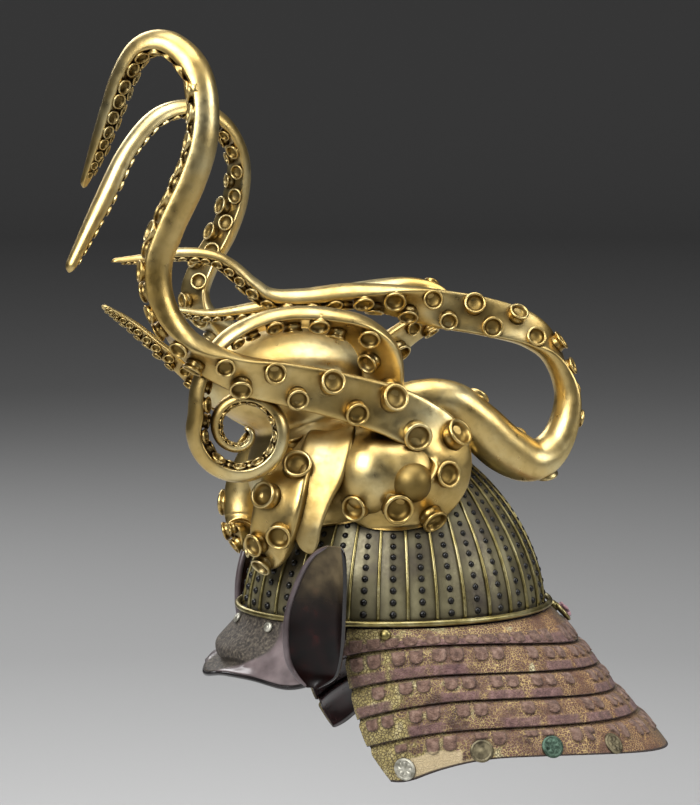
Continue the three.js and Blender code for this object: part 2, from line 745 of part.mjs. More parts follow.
// The head first, then the arms in order: each is cut clear of the bowl, the head and the
// arms before it.
function octopus() {
  const head = (grow) => wasm.Manifold.union(HEAD.map((one) => ellipsoid(one, grow)));
  const parts = { octopus_head: biggest(head(0).subtract(bowlClear)) };
  const taken = [bowlClear, head(GAP)];
  for (const [name, arm] of Object.entries(ARMS)) {
    parts[name] = biggest(taken.reduce((solid, other) => solid.subtract(other), armSolid(arm)));
    taken.push(armSolid(arm, GAP));
  }
  return parts;
}

// ---------------------------------------------------------------- materials and the assembly
const material = (color, roughness, metalness) =>
  new THREE.MeshStandardMaterial({ color, roughness, metalness });
const GILT = material(0xc9a24a, 0.32, 1);
const IRON = material(0x57584a, 0.45, 0.8);
const EDGING = material(0xa8945c, 0.4, 0.9);
const LACQUER = material(0x2a1c1c, 0.2, 0);
const LEATHER = material(0x8a6a48, 0.75, 0);
const SILVERED = material(0xb9b7aa, 0.4, 0.8);

const kabuto = new THREE.Group();
function add(name, solid, finish) {
  const mesh = new THREE.Mesh(toGeometry(solid), finish);
  mesh.name = name;
  kabuto.add(mesh);
}

add("bowl", bowl, IRON);
add("bowl_rim_bead", solidOf(bead(rimPath())), EDGING);
add("bowl_band", band(), LEATHER);
add("peak", peak(), LACQUER);
add("peak_edging", peakEdging(), LACQUER);
[-1, 0, 1].forEach((place, i) =>
  add("peak_rivet_" + (i + 1), peakRivet(place * PEAK_RIVET.angle), SILVERED),
);
for (let i = 0; i < SKIRT.length - 1; i++) add("lame_" + (i + 1), lame(i), LEATHER);
add("wing_left", wing(1), LACQUER);
add("wing_right", wing(-1), LACQUER);
for (const [name, side] of Object.entries({ left: 1, right: -1 })) {
  MEDALLION.angles.forEach((degrees, i) =>
    add(`medallion_${name}_${i + 1}`, skirtStud({ ...MEDALLION, degrees, side, off: 1.7 }), SILVERED),
  );
  add("side_knob_" + name, skirtStud({ ...SIDE_KNOB, side, off: 2 }), EDGING);
}
add("rear_stud", skirtStud({ ...REAR_STUD, degrees: 0, side: 1 }), EDGING);
add("rear_ring", rearRing(), EDGING);
for (const [name, solid] of Object.entries(octopus())) add(name, solid, GILT);

export default kabuto;
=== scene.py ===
"""Kabuto helmet with a gilded octopus crest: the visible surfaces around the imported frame.

Lengths are in millimetres until a mesh is made. +Z is up, the helmet faces -Y and the wearer's
left is +X. The origin is the middle of the bowl's rim.
"""

import math

import bpy
import numpy as np
from mathutils import Matrix, Vector


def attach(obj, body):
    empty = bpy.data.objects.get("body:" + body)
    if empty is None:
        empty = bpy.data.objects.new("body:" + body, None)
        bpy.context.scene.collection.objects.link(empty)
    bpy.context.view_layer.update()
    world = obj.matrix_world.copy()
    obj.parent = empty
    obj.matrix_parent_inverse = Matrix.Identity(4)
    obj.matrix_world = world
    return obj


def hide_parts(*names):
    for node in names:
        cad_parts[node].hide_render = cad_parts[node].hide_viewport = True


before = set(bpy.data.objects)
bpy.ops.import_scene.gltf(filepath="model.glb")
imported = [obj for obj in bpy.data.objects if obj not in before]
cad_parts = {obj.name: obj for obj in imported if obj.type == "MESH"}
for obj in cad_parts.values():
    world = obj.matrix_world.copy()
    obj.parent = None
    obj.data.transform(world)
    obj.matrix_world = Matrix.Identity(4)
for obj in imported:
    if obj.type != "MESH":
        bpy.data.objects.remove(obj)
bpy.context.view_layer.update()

MM = 0.001
TURN = 2 * math.pi
rng = np.random.default_rng(17)


# ---------------------------------------------------------------- camera
CAMERA = {"azimuth": 78, "elevation": 7, "distance": 3.5, "across": -0.0352, "up": 0.1588}
VIEW_HEIGHT = 0.644  # metres across the long side of the picture at the helmet


def add_camera():
    """A long lens level with the helmet's left side and a little above it."""
    azimuth = math.radians(CAMERA["azimuth"])
    elevation = math.radians(CAMERA["elevation"])
    level = Vector((math.sin(azimuth), -math.cos(azimuth), 0))
    back = level * math.cos(elevation) + Vector((0, 0, math.sin(elevation)))
    right = Vector((math.cos(azimuth), math.sin(azimuth), 0))
    up = back.cross(right)
    data = bpy.data.cameras.new("camera")
    data.lens = data.sensor_width * CAMERA["distance"] / VIEW_HEIGHT
    data.clip_end = 100
    camera = bpy.data.objects.new("camera", data)
    place = right * CAMERA["across"] + up * CAMERA["up"] + back * CAMERA["distance"]
    camera.matrix_world = Matrix.Translation(place) @ Matrix((right, up, back)).transposed().to_4x4()
    bpy.context.collection.objects.link(camera)
    bpy.context.scene.camera = camera


add_camera()


# ---------------------------------------------------------------- materials
def linear(colour):
    """sRGB hex to linear red, green, blue and alpha."""
    values = [int(colour[i : i + 2], 16) / 255 for i in (1, 3, 5)]
    return [v / 12.92 if v <= 0.04045 else ((v + 0.055) / 1.055) ** 2.4 for v in values] + [1.0]


def every(size):
    """The scale of a pattern in object space whose features are about size millimetres apart."""
    return 1 / (size * MM)


def node(tree, kind, settings=None, inputs=None, out=None):
    """Adds one node and returns an output, the first live one if none is named.

    settings are its properties, or stops for a ramp; inputs are values, hex colours or outputs."""
    made = tree.nodes.new("ShaderNode" + kind)
    for key, value in (settings or {}).items():
        if key != "stops":
            setattr(made, key, value)
            continue
        elements = made.color_ramp.elements
        while len(elements) < len(value):
            elements.new(0.5)
        for element, (place, colour) in zip(elements, value):
            element.position = place
            element.color = linear(colour)
    for key, value in (inputs or {}).items():
        if isinstance(value, bpy.types.NodeSocket):
            tree.links.new(value, made.inputs[key])
        else:
            made.inputs[key].default_value = linear(value) if isinstance(value, str) else value
    return made.outputs[out] if out else next(s for s in made.outputs if s.enabled)


def new_material(name, constants):
    """A material, its node tree and its object coordinates, with the shader's constants set on it."""
    material = bpy.data.materials.new(name)
    material.use_nodes = True
    tree = material.node_tree
    for key, value in constants.items():
        tree.nodes["Principled BSDF"].inputs[key].default_value = value
    return material, tree, node(tree, "TexCoord", out="Object")


def wire(tree, links):
    """Joins finished outputs to the shader."""
    for key, value in links.items():
        tree.links.new(value, tree.nodes["Principled BSDF"].inputs[key])


# Numbered sockets. Map Range: 0 the value, 1 and 2 its limits, 3 and 4 what they become.
# A Mix of colours: 0 the share, 6 and 7 the two colours.
COLOURS = {"data_type": "RGBA"}


def dirt_and_painted_shade(tree, tone, reach, limits, most, colour):
    """Dirt and painted shade: a dark colour mixed by ambient occlusion into hollows narrower than reach
    millimetres, most of it in the deepest.
    """
    depth = node(tree, "AmbientOcclusion", {"samples": 6}, {"Distance": reach * MM}, out="AO")
    share = node(tree, "MapRange", None, {0: depth, 1: limits[0], 2: limits[1], 3: most, 4: 0.0})
    return node(tree, "Mix", COLOURS, {0: share, 6: tone, 7: colour})


def gold_leaf():
    """Gold leaf laid on lacquered, carved wood and burnished.

    The leaf gives a soft warm mirror; rubbed patches show a browner gold, the creases are darkened
    brown with patina and painted shade, and lap lines of the leaf and the carving below leave faint
    waves. The grain of burnished leaf is well under half a millimetre, and is drawn at 1.8 mm so that
    it shows."""
    material, tree, place = new_material("gold_leaf_on_carved_wood", {"Metallic": 1.0})
    broad = node(tree, "TexNoise", None, {"Vector": place, "Scale": every(60), "Detail": 4.0})
    stops = [(0.3, "#c2a25c"), (0.5, "#dabf7e"), (0.72, "#ebdeac")]
    tone = node(tree, "ValToRGB", {"stops": stops}, {"Fac": broad})
    fine = node(tree, "TexNoise", None, {"Vector": place, "Scale": every(8), "Detail": 6.0})
    rubbed = node(tree, "MapRange", None, {0: fine, 1: 0.5, 2: 0.8, 3: 0.0, 4: 0.5})
    tone = node(tree, "Mix", COLOURS, {0: rubbed, 6: tone, 7: "#a98f50"})
    # Brown patina and painted shade in the creases and hollows, laid by their occlusion.
    tone = dirt_and_painted_shade(tree, tone, 14, (0.3, 0.95), 0.9, "#4e3716")
    # This attribute darkens the eyes' and webs' gilding; deep in the suckers' cups it is painted shade as
    # well as patina.
    worn = node(tree, "Attribute", {"attribute_name": "patina"}, out="Fac")
    tone = node(tree, "Mix", COLOURS, {0: worn, 6: tone, 7: "#6b5628"})
    rough = node(tree, "MapRange", None, {0: fine, 1: 0.3, 2: 0.7, 3: 0.27, 4: 0.41})
    rough = node(tree, "Math", {"operation": "MULTIPLY_ADD"}, {0: worn, 1: 0.2, 2: rough})
    waves = node(tree, "TexNoise", None, {"Vector": place, "Scale": every(13), "Detail": 2.0})
    swell = node(tree, "Bump", None, {"Height": waves, "Distance": 0.5 * MM, "Strength": 0.4})
    grain = node(tree, "TexNoise", None, {"Vector": place, "Scale": every(1.8), "Detail": 4.0})
    inputs = {"Height": grain, "Distance": 0.1 * MM, "Strength": 0.5, "Normal": swell}
    wire(tree, {"Base Color": tone, "Roughness": rough, "Normal": node(tree, "Bump", None, inputs)})
    return material


def aged_metal(name, metallic, patches, stops, hollow, grain, rough, relief):
    """A worked metal under its age: patches of tone, hollows darkened with dirt and painted shade, and a
    fine uneven skin.

    patches and grain are millimetres apart and detail, hollow is its reach in millimetres, share
    and colour, rough its two limits, and relief its height in millimetres and its strength."""
    material, tree, place = new_material(name, {"Metallic": metallic})
    inputs = {"Vector": place, "Scale": every(patches[0]), "Detail": patches[1]}
    tone = node(tree, "ValToRGB", {"stops": stops}, {"Fac": node(tree, "TexNoise", None, inputs)})
    tone = dirt_and_painted_shade(tree, tone, hollow[0], (0.4, 1.0), *hollow[1:])
    inputs = {"Vector": place, "Scale": every(grain[0]), "Detail": grain[1]}
    fine = node(tree, "TexNoise", None, inputs)
    sheen = node(tree, "MapRange", None, {0: fine, 1: 0.3, 2: 0.7, 3: rough[0], 4: rough[1]})
    inputs = {"Height": fine, "Distance": relief[0] * MM, "Strength": relief[1]}
    wire(tree, {"Base Color": tone, "Roughness": sheen, "Normal": node(tree, "Bump", None, inputs)})
    return material


def cast_copper(name, dark, light):
    """Small cast copper fittings, silvered or left to patinate: dull crowns over hollows darkened with dirt
    and painted shade.
    """
    return aged_metal(
        name,
        0.7,
        patches=(5, 5.0),
        stops=[(0.35, dark), (0.65, light)],
        hollow=(2.5, 0.8, "#1c1a16"),
        grain=(5, 5.0),
        rough=(0.36, 0.56),
        relief=(0.15, 0.5),
    )


def lacquered_rivets():
    """Raised iron rivet heads under black lacquer, polished on their tops by handling."""
    material, tree, place = new_material("black_lacquered_rivets", {"Metallic": 0.3})
    fine = node(tree, "TexNoise", None, {"Vector": place, "Scale": every(6), "Detail": 3.0})
    tone = node(tree, "ValToRGB", {"stops": [(0.4, "#0a0908"), (0.7, "#1c1a17")]}, {"Fac": fine})
    rough = node(tree, "MapRange", None, {0: fine, 1: 0.3, 2: 0.7, 3: 0.22, 4: 0.4})
    wire(tree, {"Base Color": tone, "Roughness": rough})
    return material


def brushed_lacquer(name, dark, light, rough):
    """Urushi lacquer brushed on in many coats and polished: deep colour under a hard gloss."""
    constants = {"Coat Weight": 0.6, "Coat Roughness": 0.08, "IOR": 1.55}
    material, tree, place = new_material(name, constants)
    broad = node(tree, "TexNoise", None, {"Vector": place, "Scale": every(26), "Detail": 4.0})
    tone = node(tree, "ValToRGB", {"stops": [(0.35, dark), (0.7, light)]}, {"Fac": broad})
    fine = node(tree, "TexNoise", None, {"Vector": place, "Scale": every(9), "Detail": 4.0})
    sheen = node(tree, "MapRange", None, {0: fine, 1: 0.3, 2: 0.7, 3: rough, 4: rough + 0.14})
    inputs = {"Height": fine, "Distance": 0.25 * MM, "Strength": 0.35}
    wire(tree, {"Base Color": tone, "Roughness": sheen, "Normal": node(tree, "Bump", None, inputs)})
    return material


def peak_lacquer():
    """The peak: polished mauve-brown lacquer, lightened with painted reflection, and a panel of
    coarse-grained leather at its middle.
    """
    constants = {"Coat Roughness": 0.1, "IOR": 1.55}
    material, tree, place = new_material("lacquered_peak_with_leather", constants)
    panel = node(tree, "Attribute", {"attribute_name": "panel"}, out="Fac")
    broad = node(tree, "TexNoise", None, {"Vector": place, "Scale": every(24), "Detail": 4.0})
    # The lacquer's mauve-grey is partly its own colour and partly painted reflection of its gloss.
    lacquer = node(tree, "ValToRGB", {"stops": [(0.35, "#54494a"), (0.7, "#8a7c7c")]}, {"Fac": broad})
    grain = node(tree, "TexNoise", None, {"Vector": place, "Scale": every(2.4), "Detail": 5.0})
    stops = [(0.35, "#28221d"), (0.52, "#4a4239"), (0.72, "#736a5b")]
    leather = node(tree, "ValToRGB", {"stops": stops}, {"Fac": grain})
    tone = node(tree, "Mix", COLOURS, {0: panel, 6: lacquer, 7: leather})
    rough = node(tree, "MapRange", None, {0: panel, 3: 0.3, 4: 0.7})
    coat = node(tree, "MapRange", None, {0: panel, 3: 0.3, 4: 0.0})
    swell = node(tree, "Bump", None, {"Height": broad, "Distance": 0.8 * MM, "Strength": 0.4})
    relief = node(tree, "Math", {"operation": "MULTIPLY"}, {0: grain, 1: panel})
    inputs = {"Height": relief, "Distance": 0.6 * MM, "Strength": 0.9, "Normal": swell}
    normal = node(tree, "Bump", None, inputs)
    wire(tree, {"Base Color": tone, "Roughness": rough, "Coat Weight": coat, "Normal": normal})
    return material


def wing_finish():
    """The wings' faces: near-black red lacquer, and brown leather on their upper third."""
    constants = {"Coat Roughness": 0.12, "IOR": 1.5, "Specular IOR Level": 0.25}
    material, tree, place = new_material("dark_red_lacquer_under_brown_leather", constants)
    leather = node(tree, "Attribute", {"attribute_name": "leather"}, out="Fac")
    broad = node(tree, "TexNoise", None, {"Vector": place, "Scale": every(18), "Detail": 5.0})
    stops = [(0.35, "#060302"), (0.55, "#140605"), (0.72, "#34100d")]
    lacquer = node(tree, "ValToRGB", {"stops": stops}, {"Fac": broad})
    hide = node(tree, "ValToRGB", {"stops": [(0.35, "#43392a"), (0.65, "#6f6147")]}, {"Fac": broad})
    tone = node(tree, "Mix", COLOURS, {0: leather, 6: lacquer, 7: hide})
    rough = node(tree, "MapRange", None, {0: leather, 3: 0.22, 4: 0.55})
    coat = node(tree, "MapRange", None, {0: leather, 3: 0.12, 4: 0.0})
    inputs = {"Height": broad, "Distance": 0.5 * MM, "Strength": 0.5}
    normal = node(tree, "Bump", None, inputs)
    wire(tree, {"Base Color": tone, "Roughness": rough, "Coat Weight": coat, "Normal": normal})
    return material


def gilt_leather():
    """Gilded leather over the lames, crazed with age, under faded purple silk lacing.

    The gilding is whole near the front, in plates about 2.4 mm across with brown cracks, and rubbed
    to bright threads along the crazing behind. The flat-braided silk is matt; the hem is lacquer.
    The dark line along each lame's lower edge is partly that lacquer and partly a painted shadow
    line, painted shade outlines the raised tongues, and painted shade darkens the narrow hollows.
    The braid's threads, well under a millimetre, are drawn as a grain 1.5 mm apart."""
    constants = {"Sheen Weight": 0.1, "IOR": 1.5}
    material, tree, place = new_material("crazed_gilt_leather_and_silk", constants)
    wander = node(tree, "TexNoise", None, {"Vector": place, "Scale": every(4)}, out="Color")
    shift = node(tree, "VectorMath", {"operation": "SCALE"}, {0: wander, "Scale": 2.6 * MM})
    moved = node(tree, "VectorMath", {"operation": "ADD"}, {0: place, 1: shift})
    settings = {"feature": "DISTANCE_TO_EDGE"}
    plates = node(tree, "TexVoronoi", settings, {"Vector": moved, "Scale": every(2.4)})
    broad = node(tree, "TexNoise", None, {"Vector": place, "Scale": every(26), "Detail": 5.0})
    fluff = node(tree, "TexNoise", None, {"Vector": place, "Scale": every(13), "Detail": 6.0})
    age, front, band, laced, bare, seam, edge = (
        node(tree, "Attribute", {"attribute_name": name}, out="Fac")
        for name in ("age", "front", "band", "silk", "bare", "seam", "edge")
    )
    stops = [(0.3, "#4a3127"), (0.5, "#6b4d40"), (0.7, "#856350")]
    ground = node(tree, "ValToRGB", {"stops": stops}, {"Fac": fluff})
    ground = node(tree, "Mix", COLOURS, {0: age, 6: ground, 7: "#6a4229"})
    stops = [(0.35, "#a48a4c"), (0.65, "#d8c283")]
    thread = node(tree, "ValToRGB", {"stops": stops}, {"Fac": broad})
    thread = node(tree, "Mix", COLOURS, {0: age, 6: thread, 7: "#c2925c"})
    lines = node(tree, "MapRange", None, {0: plates, 1: 0.03, 2: 0.1, 3: 1.0, 4: 0.0})
    kept = node(tree, "MapRange", None, {0: broad, 1: 0.36, 2: 0.5, 3: 0.15, 4: 1.0})
    lines = node(tree, "Math", {"operation": "MULTIPLY"}, {0: lines, 1: kept})
    rubbed = node(tree, "Mix", COLOURS, {0: lines, 6: ground, 7: thread})
    crack = node(tree, "MapRange", None, {0: plates, 1: 0.03, 2: 0.16, 3: 0.9, 4: 0.0})
    stops = [(0.35, "#8a7a48"), (0.55, "#b6a56a"), (0.75, "#d8cba0")]
    whole = node(tree, "ValToRGB", {"stops": stops}, {"Fac": fluff})
    whole = node(tree, "Mix", COLOURS, {0: crack, 6: whole, 7: "#4a3a1a"})
    share = node(tree, "Math", {"operation": "MULTIPLY_ADD"}, {0: fluff, 1: 1.6, 2: front})
    share = node(tree, "Math", {"operation": "MULTIPLY_ADD"}, {0: age, 1: -0.3, 2: share})
    share = node(tree, "MapRange", None, {0: share, 1: 0.96, 2: 1.06})
    gilt = node(tree, "Mix", COLOURS, {0: share, 6: rubbed, 7: whole})
    dulled = node(tree, "MapRange", None, {0: age, 1: 0.74, 2: 0.96, 3: 0.0, 4: 0.75})
    gilt = node(tree, "Mix", COLOURS, {0: dulled, 6: gilt, 7: "#4d4a3a"})
    weave = node(tree, "TexNoise", None, {"Vector": place, "Scale": every(5), "Detail": 6.0})
    stops = [(0.3, "#513a30"), (0.5, "#75594b"), (0.72, "#987c6c")]
    silk = node(tree, "ValToRGB", {"stops": stops}, {"Fac": weave})
    stops = [(0.3, "#50373a"), (0.5, "#70514f"), (0.72, "#91706d")]
    purple = node(tree, "ValToRGB", {"stops": stops}, {"Fac": weave})
    silk = node(tree, "Mix", COLOURS, {0: band, 6: silk, 7: purple})
    tone = node(tree, "Mix", COLOURS, {0: laced, 6: gilt, 7: silk})
    chipped = node(tree, "Math", {"operation": "MULTIPLY"}, {0: bare, 1: fluff})
    worn = node(tree, "MapRange", None, {0: chipped, 1: 0.24, 2: 0.3, 3: 0.0, 4: 0.9})
    tone = node(tree, "Mix", COLOURS, {0: worn, 6: tone, 7: "#cfba92"})
    # Painted shade: a dark outline round each raised tongue of lacing.
    tone = node(tree, "Mix", COLOURS, {0: seam, 6: tone, 7: "#321b14"})
    # Dirt and painted shade in hollows narrower than 2.5 mm.
    tone = dirt_and_painted_shade(tree, tone, 2.5, (0.3, 0.9), 0.85, "#311c13")
    # A dark line along each lame's lower edge: lacquer, and partly a painted shadow line where the lame
    # overhangs the next.
    tone = node(tree, "Mix", COLOURS, {0: edge, 6: tone, 7: "#26150f"})
    rough = node(tree, "MapRange", None, {0: laced, 3: 0.5, 4: 0.8})
    ridged = node(tree, "MapRange", None, {0: plates, 1: 0.0, 2: 0.2, 3: 1.0, 4: 0.0})
    relief = node(tree, "Bump", None, {"Height": ridged, "Distance": 0.5 * MM, "Strength": 0.8})
    grain = node(tree, "TexNoise", None, {"Vector": place, "Scale": every(1.5), "Detail": 4.0})
    inputs = {"Height": grain, "Distance": 0.5 * MM, "Strength": 0.8, "Normal": relief}
    wire(tree, {"Base Color": tone, "Roughness": rough, "Normal": node(tree, "Bump", None, inputs)})
    return material


def silk_cord():
    """Tightly twisted silk cord, faded to pink-purple: matt, with a fine slanting twist.

    The bands of a wave come 0.314 of its scale apart, so this one's are 2.8 mm apart."""
    material, tree, place = new_material("twisted_silk_cord", {"Sheen Weight": 0.3, "Roughness": 0.8})
    twist = node(tree, "TexWave", {"bands_direction": "DIAGONAL"}, {"Vector": place, "Scale": every(9)})
    tone = node(tree, "ValToRGB", {"stops": [(0.2, "#5e3c45"), (0.8, "#a97f86")]}, {"Fac": twist})
    inputs = {"Height": twist, "Distance": 0.4 * MM}
    wire(tree, {"Base Color": tone, "Normal": node(tree, "Bump", None, inputs)})
    return material


GOLD = gold_leaf()
# Forged iron plates under thin clear lacquer: grey-green and satin, darkened between the rivet heads and in
# other hollows with dirt and painted shade.
# The pitting of forged iron is under a millimetre, and is drawn at 2.5 mm so that it shows.
IRON = aged_metal(
    "lacquered_forged_iron",
    0.5,
    patches=(34, 5.0),
    stops=[(0.3, "#4a4238"), (0.5, "#70694f"), (0.7, "#8f8868")],
    hollow=(5, 0.8, "#14110f"),
    grain=(2.5, 4.0),
    rough=(0.36, 0.52),
    relief=(0.15, 0.6),
)
RIVETS = lacquered_rivets()
# Fire-gilt copper, drawn to beads and rubbed: olive-gold, with dirt and painted shade darkening its hollows
# so that its crowns stand brighter.
GILT = aged_metal(
    "rubbed_gilt_copper",
    1.0,
    patches=(16, 4.0),
    stops=[(0.3, "#776a3c"), (0.5, "#9d9160"), (0.75, "#c8be92")],
    hollow=(3, 0.7, "#38301a"),
    grain=(2, 3.0),
    rough=(0.3, 0.46),
    relief=(0.1, 0.5),
)
BLACK = brushed_lacquer("black_brushed_lacquer", "#0d0b0b", "#221c1c", 0.14)
RED = brushed_lacquer("dark_red_brushed_lacquer", "#180707", "#3a1413", 0.16)
# The wings' rounded folds: black lacquer drawn mauve, a painted reflection of the light along the bend.
FOLD_LACQUER_WITH_PAINTED_REFLECTION = brushed_lacquer("mauve_lacquer_with_painted_reflection", "#3a3031", "#6d6062", 0.3)
PEAK_FINISH = peak_lacquer()
WING_FINISH = wing_finish()
LEATHER = gilt_leather()
SILVERED = cast_copper("silvered_cast_copper", "#8d8a7c", "#d8d5c6")
OLIVE = cast_copper("patinated_cast_copper", "#4d4636", "#8a8064")
GREEN = cast_copper("green_patinated_copper", "#33463a", "#5a7362")
CORD = silk_cord()


# ---------------------------------------------------------------- meshes
def unit(vectors):
    """The same directions with a length of 1."""
    return vectors / np.linalg.norm(vectors, axis=-1, keepdims=True)


def once_round(count):
    """Even angles once round, the last a step short of the first."""
    return np.arange(count) / count * TURN


def run_along(path):
    """The length of a path so far, at each of its points."""
    return np.concatenate([[0], np.cumsum(np.linalg.norm(np.diff(path, axis=0), axis=1))])


def soft_step(x):
    """From 0 to 1 about x = 0, as 1 / (1 + e^-x)."""
    return 1 / (1 + np.exp(-x))


def square_to(normal):
    """Two directions square to a normal and to each other, the first one level."""
    level = unit(np.cross([0, 0, 1.0], normal))
    return level, np.cross(normal, level)


def off_line(vectors, along):
    """Unit directions of what is left of vectors when their part along a line is taken away."""
    return unit(vectors - (vectors * along).sum(1, keepdims=True) * along)


def circles(u, v, sides):
    """For each pair of directions square to each other, a circle with a radius of 1 round them."""
    a = once_round(sides)
    return u[:, None] * np.cos(a)[None, :, None] + v[:, None] * np.sin(a)[None, :, None]


def sphere(rows, columns, gap):
    """Directions all round, in rings that start and end gap radians from the poles."""
    polar = np.linspace(gap, math.pi - gap, rows)[:, None]
    turn = once_round(columns)[None, :]
    x, y = np.sin(polar) * np.cos(turn), np.sin(polar) * np.sin(turn)
    return np.stack([x, y, np.cos(polar) + 0 * turn], -1)


def grid_faces(rows, cols, close_cols=False, start=0):
    """Quads of a grid of rows x cols points, counted row by row."""
    r = np.arange(rows - 1)[:, None]
    c = np.arange(cols if close_cols else cols - 1)[None, :]
    a = start + r * cols + c
    b = start + r * cols + (c + 1) % cols
    return np.stack([a, b, b + cols, a + cols], -1).reshape(-1, 4)


def build(name, points, quads, tris=(), values=None, smooth=True):
    """One mesh object from arrays in millimetres. values are named floats, one a vertex."""
    quads = np.asarray(quads, dtype=np.int32).reshape(-1, 4)
    tris = np.asarray(tris, dtype=np.int32).reshape(-1, 3)
    mesh = bpy.data.meshes.new(name)
    mesh.vertices.add(len(points))
    mesh.vertices.foreach_set("co", (np.asarray(points, dtype=np.float32) * MM).ravel())
    loops = np.concatenate([quads.ravel(), tris.ravel()])
    counts = np.concatenate([np.full(len(quads), 4), np.full(len(tris), 3)])
    mesh.loops.add(len(loops))
    mesh.loops.foreach_set("vertex_index", loops)
    mesh.polygons.add(len(counts))
    mesh.polygons.foreach_set("loop_start", np.concatenate([[0], np.cumsum(counts)[:-1]]))
    mesh.polygons.foreach_set("loop_total", counts)
    mesh.update(calc_edges=True)
    mesh.validate()
    mesh.polygons.foreach_set("use_smooth", np.full(len(counts), smooth))
    for key, data in (values or {}).items():
        layer = mesh.attributes.new(key, "FLOAT", "POINT")
        layer.data.foreach_set("value", np.asarray(data, dtype=np.float32).ravel())
    piece = bpy.data.objects.new(name, mesh)
    bpy.context.collection.objects.link(piece)
    return piece


def tube(name, rings, values=None):
    """A closed skin through rings of points (n x m x 3), each end closed by a middle point."""
    n, m, _ = rings.shape
    ends = np.stack([rings[0].mean(0), rings[-1].mean(0)])
    points = np.concatenate([rings.reshape(-1, 3), ends])
    quads, tris = lathe_faces(n, m)
    if values:
        values = {k: np.concatenate([v.ravel(), [v[0].mean(), v[-1].mean()]]) for k, v in values.items()}
    return turn_outwards(build(name, points, quads, tris, values))


def looped(name, rings, smooth=True):
    """A skin through rings of points whose last ring joins the first."""
    n, m, _ = rings.shape
    quads = grid_faces(n + 1, m, True) % (n * m)
    return turn_outwards(build(name, rings.reshape(-1, 3), quads, smooth=smooth))


def turn_outwards(piece):
    """Flips every face if the closed mesh's signed volume is negative."""
    mesh = piece.data
    mesh.calc_loop_triangles()
    points = np.empty(len(mesh.vertices) * 3, dtype=np.float32)
    mesh.vertices.foreach_get("co", points)
    corners = np.empty(len(mesh.loop_triangles) * 3, dtype=np.int32)
    mesh.loop_triangles.foreach_get("vertices", corners)
    a, b, c = points.reshape(-1, 3)[corners.reshape(-1, 3)].transpose(1, 0, 2).astype(np.float64)
    if np.einsum("ij,ij->", a, np.cross(b, c)) < 0:
        mesh.flip_normals()
    return piece


def many(name, shape, quads, tris=(), values=None):
    """Many copies of one small closed shape (copies x points x 3) as a single mesh."""
    copies, count, _ = shape.shape
    step = (np.arange(copies) * count)[:, None, None]
    all_quads = (np.asarray(quads)[None] + step).reshape(-1, 4)
    all_tris = (np.asarray(tris, dtype=np.int32).reshape(1, -1, 3) + step).reshape(-1, 3)
    return turn_outwards(build(name, shape.reshape(-1, 3), all_quads, all_tris, values))


def lathe_faces(rings, sides):
    """Faces of a shape turned round an axis: its rings, then a point that closes each end."""
    around = np.arange(sides)
    after = (around + 1) % sides
    low = np.stack([after, around, np.full(sides, rings * sides)], 1)
    last = (rings - 1) * sides
    high = np.stack([last + around, last + after, np.full(sides, rings * sides + 1)], 1)
    return grid_faces(rings, sides, True), np.concatenate([low, high])


def turned(places, axes, profile, sides, sizes):
    """Lathe copies: profile rows are (radius, height) in shares of each copy's size."""
    axes = unit(axes)
    helper = np.where(np.abs(axes[:, 2:]) < 0.8, [[0, 0, 1]], [[1, 0, 0]])
    u = unit(np.cross(helper, axes))
    circle = circles(u, np.cross(axes, u), sides)
    radius = sizes[:, None] * profile[:, 0]
    height = sizes[:, None] * profile[:, 1]
    rings = (
        places[:, None, None]
        + circle[:, None] * radius[:, :, None, None]
        + axes[:, None, None] * height[:, :, None, None]
    )
    ends = places[:, None] + axes[:, None] * height[:, [0, -1], None]
    return np.concatenate([rings.reshape(len(places), -1, 3), ends], 1)


def dress(piece, material, slot, *nodes):
    """Gives a piece its material and its body, and hides the CAD nodes that it stands for; slot is not
    used.
    """
    piece.data.materials.append(material)
    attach(piece, "root")
    if nodes:
        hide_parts(*nodes)
    return piece


def line(piece, material, faces):
    """Gives some faces of a piece a second material."""
    piece.data.materials.append(material)
    piece.data.polygons.foreach_set("material_index", faces.astype(np.int32))


# ---------------------------------------------------------------- bowl
BOWL = {"side": 103, "length": 120, "height": 138, "wall": 3, "ribs": 32, "rib_height": 2.2}
DOME = {"fullness": 1.7, "roundness": 0.6}
RIM_BEAD = {"side": 108, "length": 125.5, "radius": 2.3}
BAND = {"top": -0.6, "bottom": -14, "wall": 2}
# Points across a plate and up it, how far it dips between its ribs, and its step over the next.
PLATE = {"across": 12, "up": 56, "dip": 0.9, "step": 0.8}
# A rib's half width and how much it thins, at the bowl's mean radius, and how deep it is set.
RIB = {"half": 1.5, "thins": 0.5, "at_radius": 112, "middle": 0.2, "set_in": 0.3}
CLEAR = 0.35
# A push along a ray grows the fill below by a power between 1 / roundness and the fullness.
FILL_POWER = 0.594


def dome_share(z, height):
    """The dome's radius at height z as a share of that at the rim: (1 - t^1.7)^0.6."""
    t = np.clip(z / height, 0, 1)
    return (1 - t ** DOME["fullness"]) ** DOME["roundness"]


def dome_point(angle, t, out=0.0):
    """A point at the share t of the dome's height, out from its surface."""
    share = dome_share(t, 1.0)
    x = (BOWL["side"] + out) * share * np.sin(angle)
    y = -(BOWL["length"] + out) * share * np.cos(angle)
    return np.stack(np.broadcast_arrays(x, y, t * (BOWL["height"] + out)), -1)


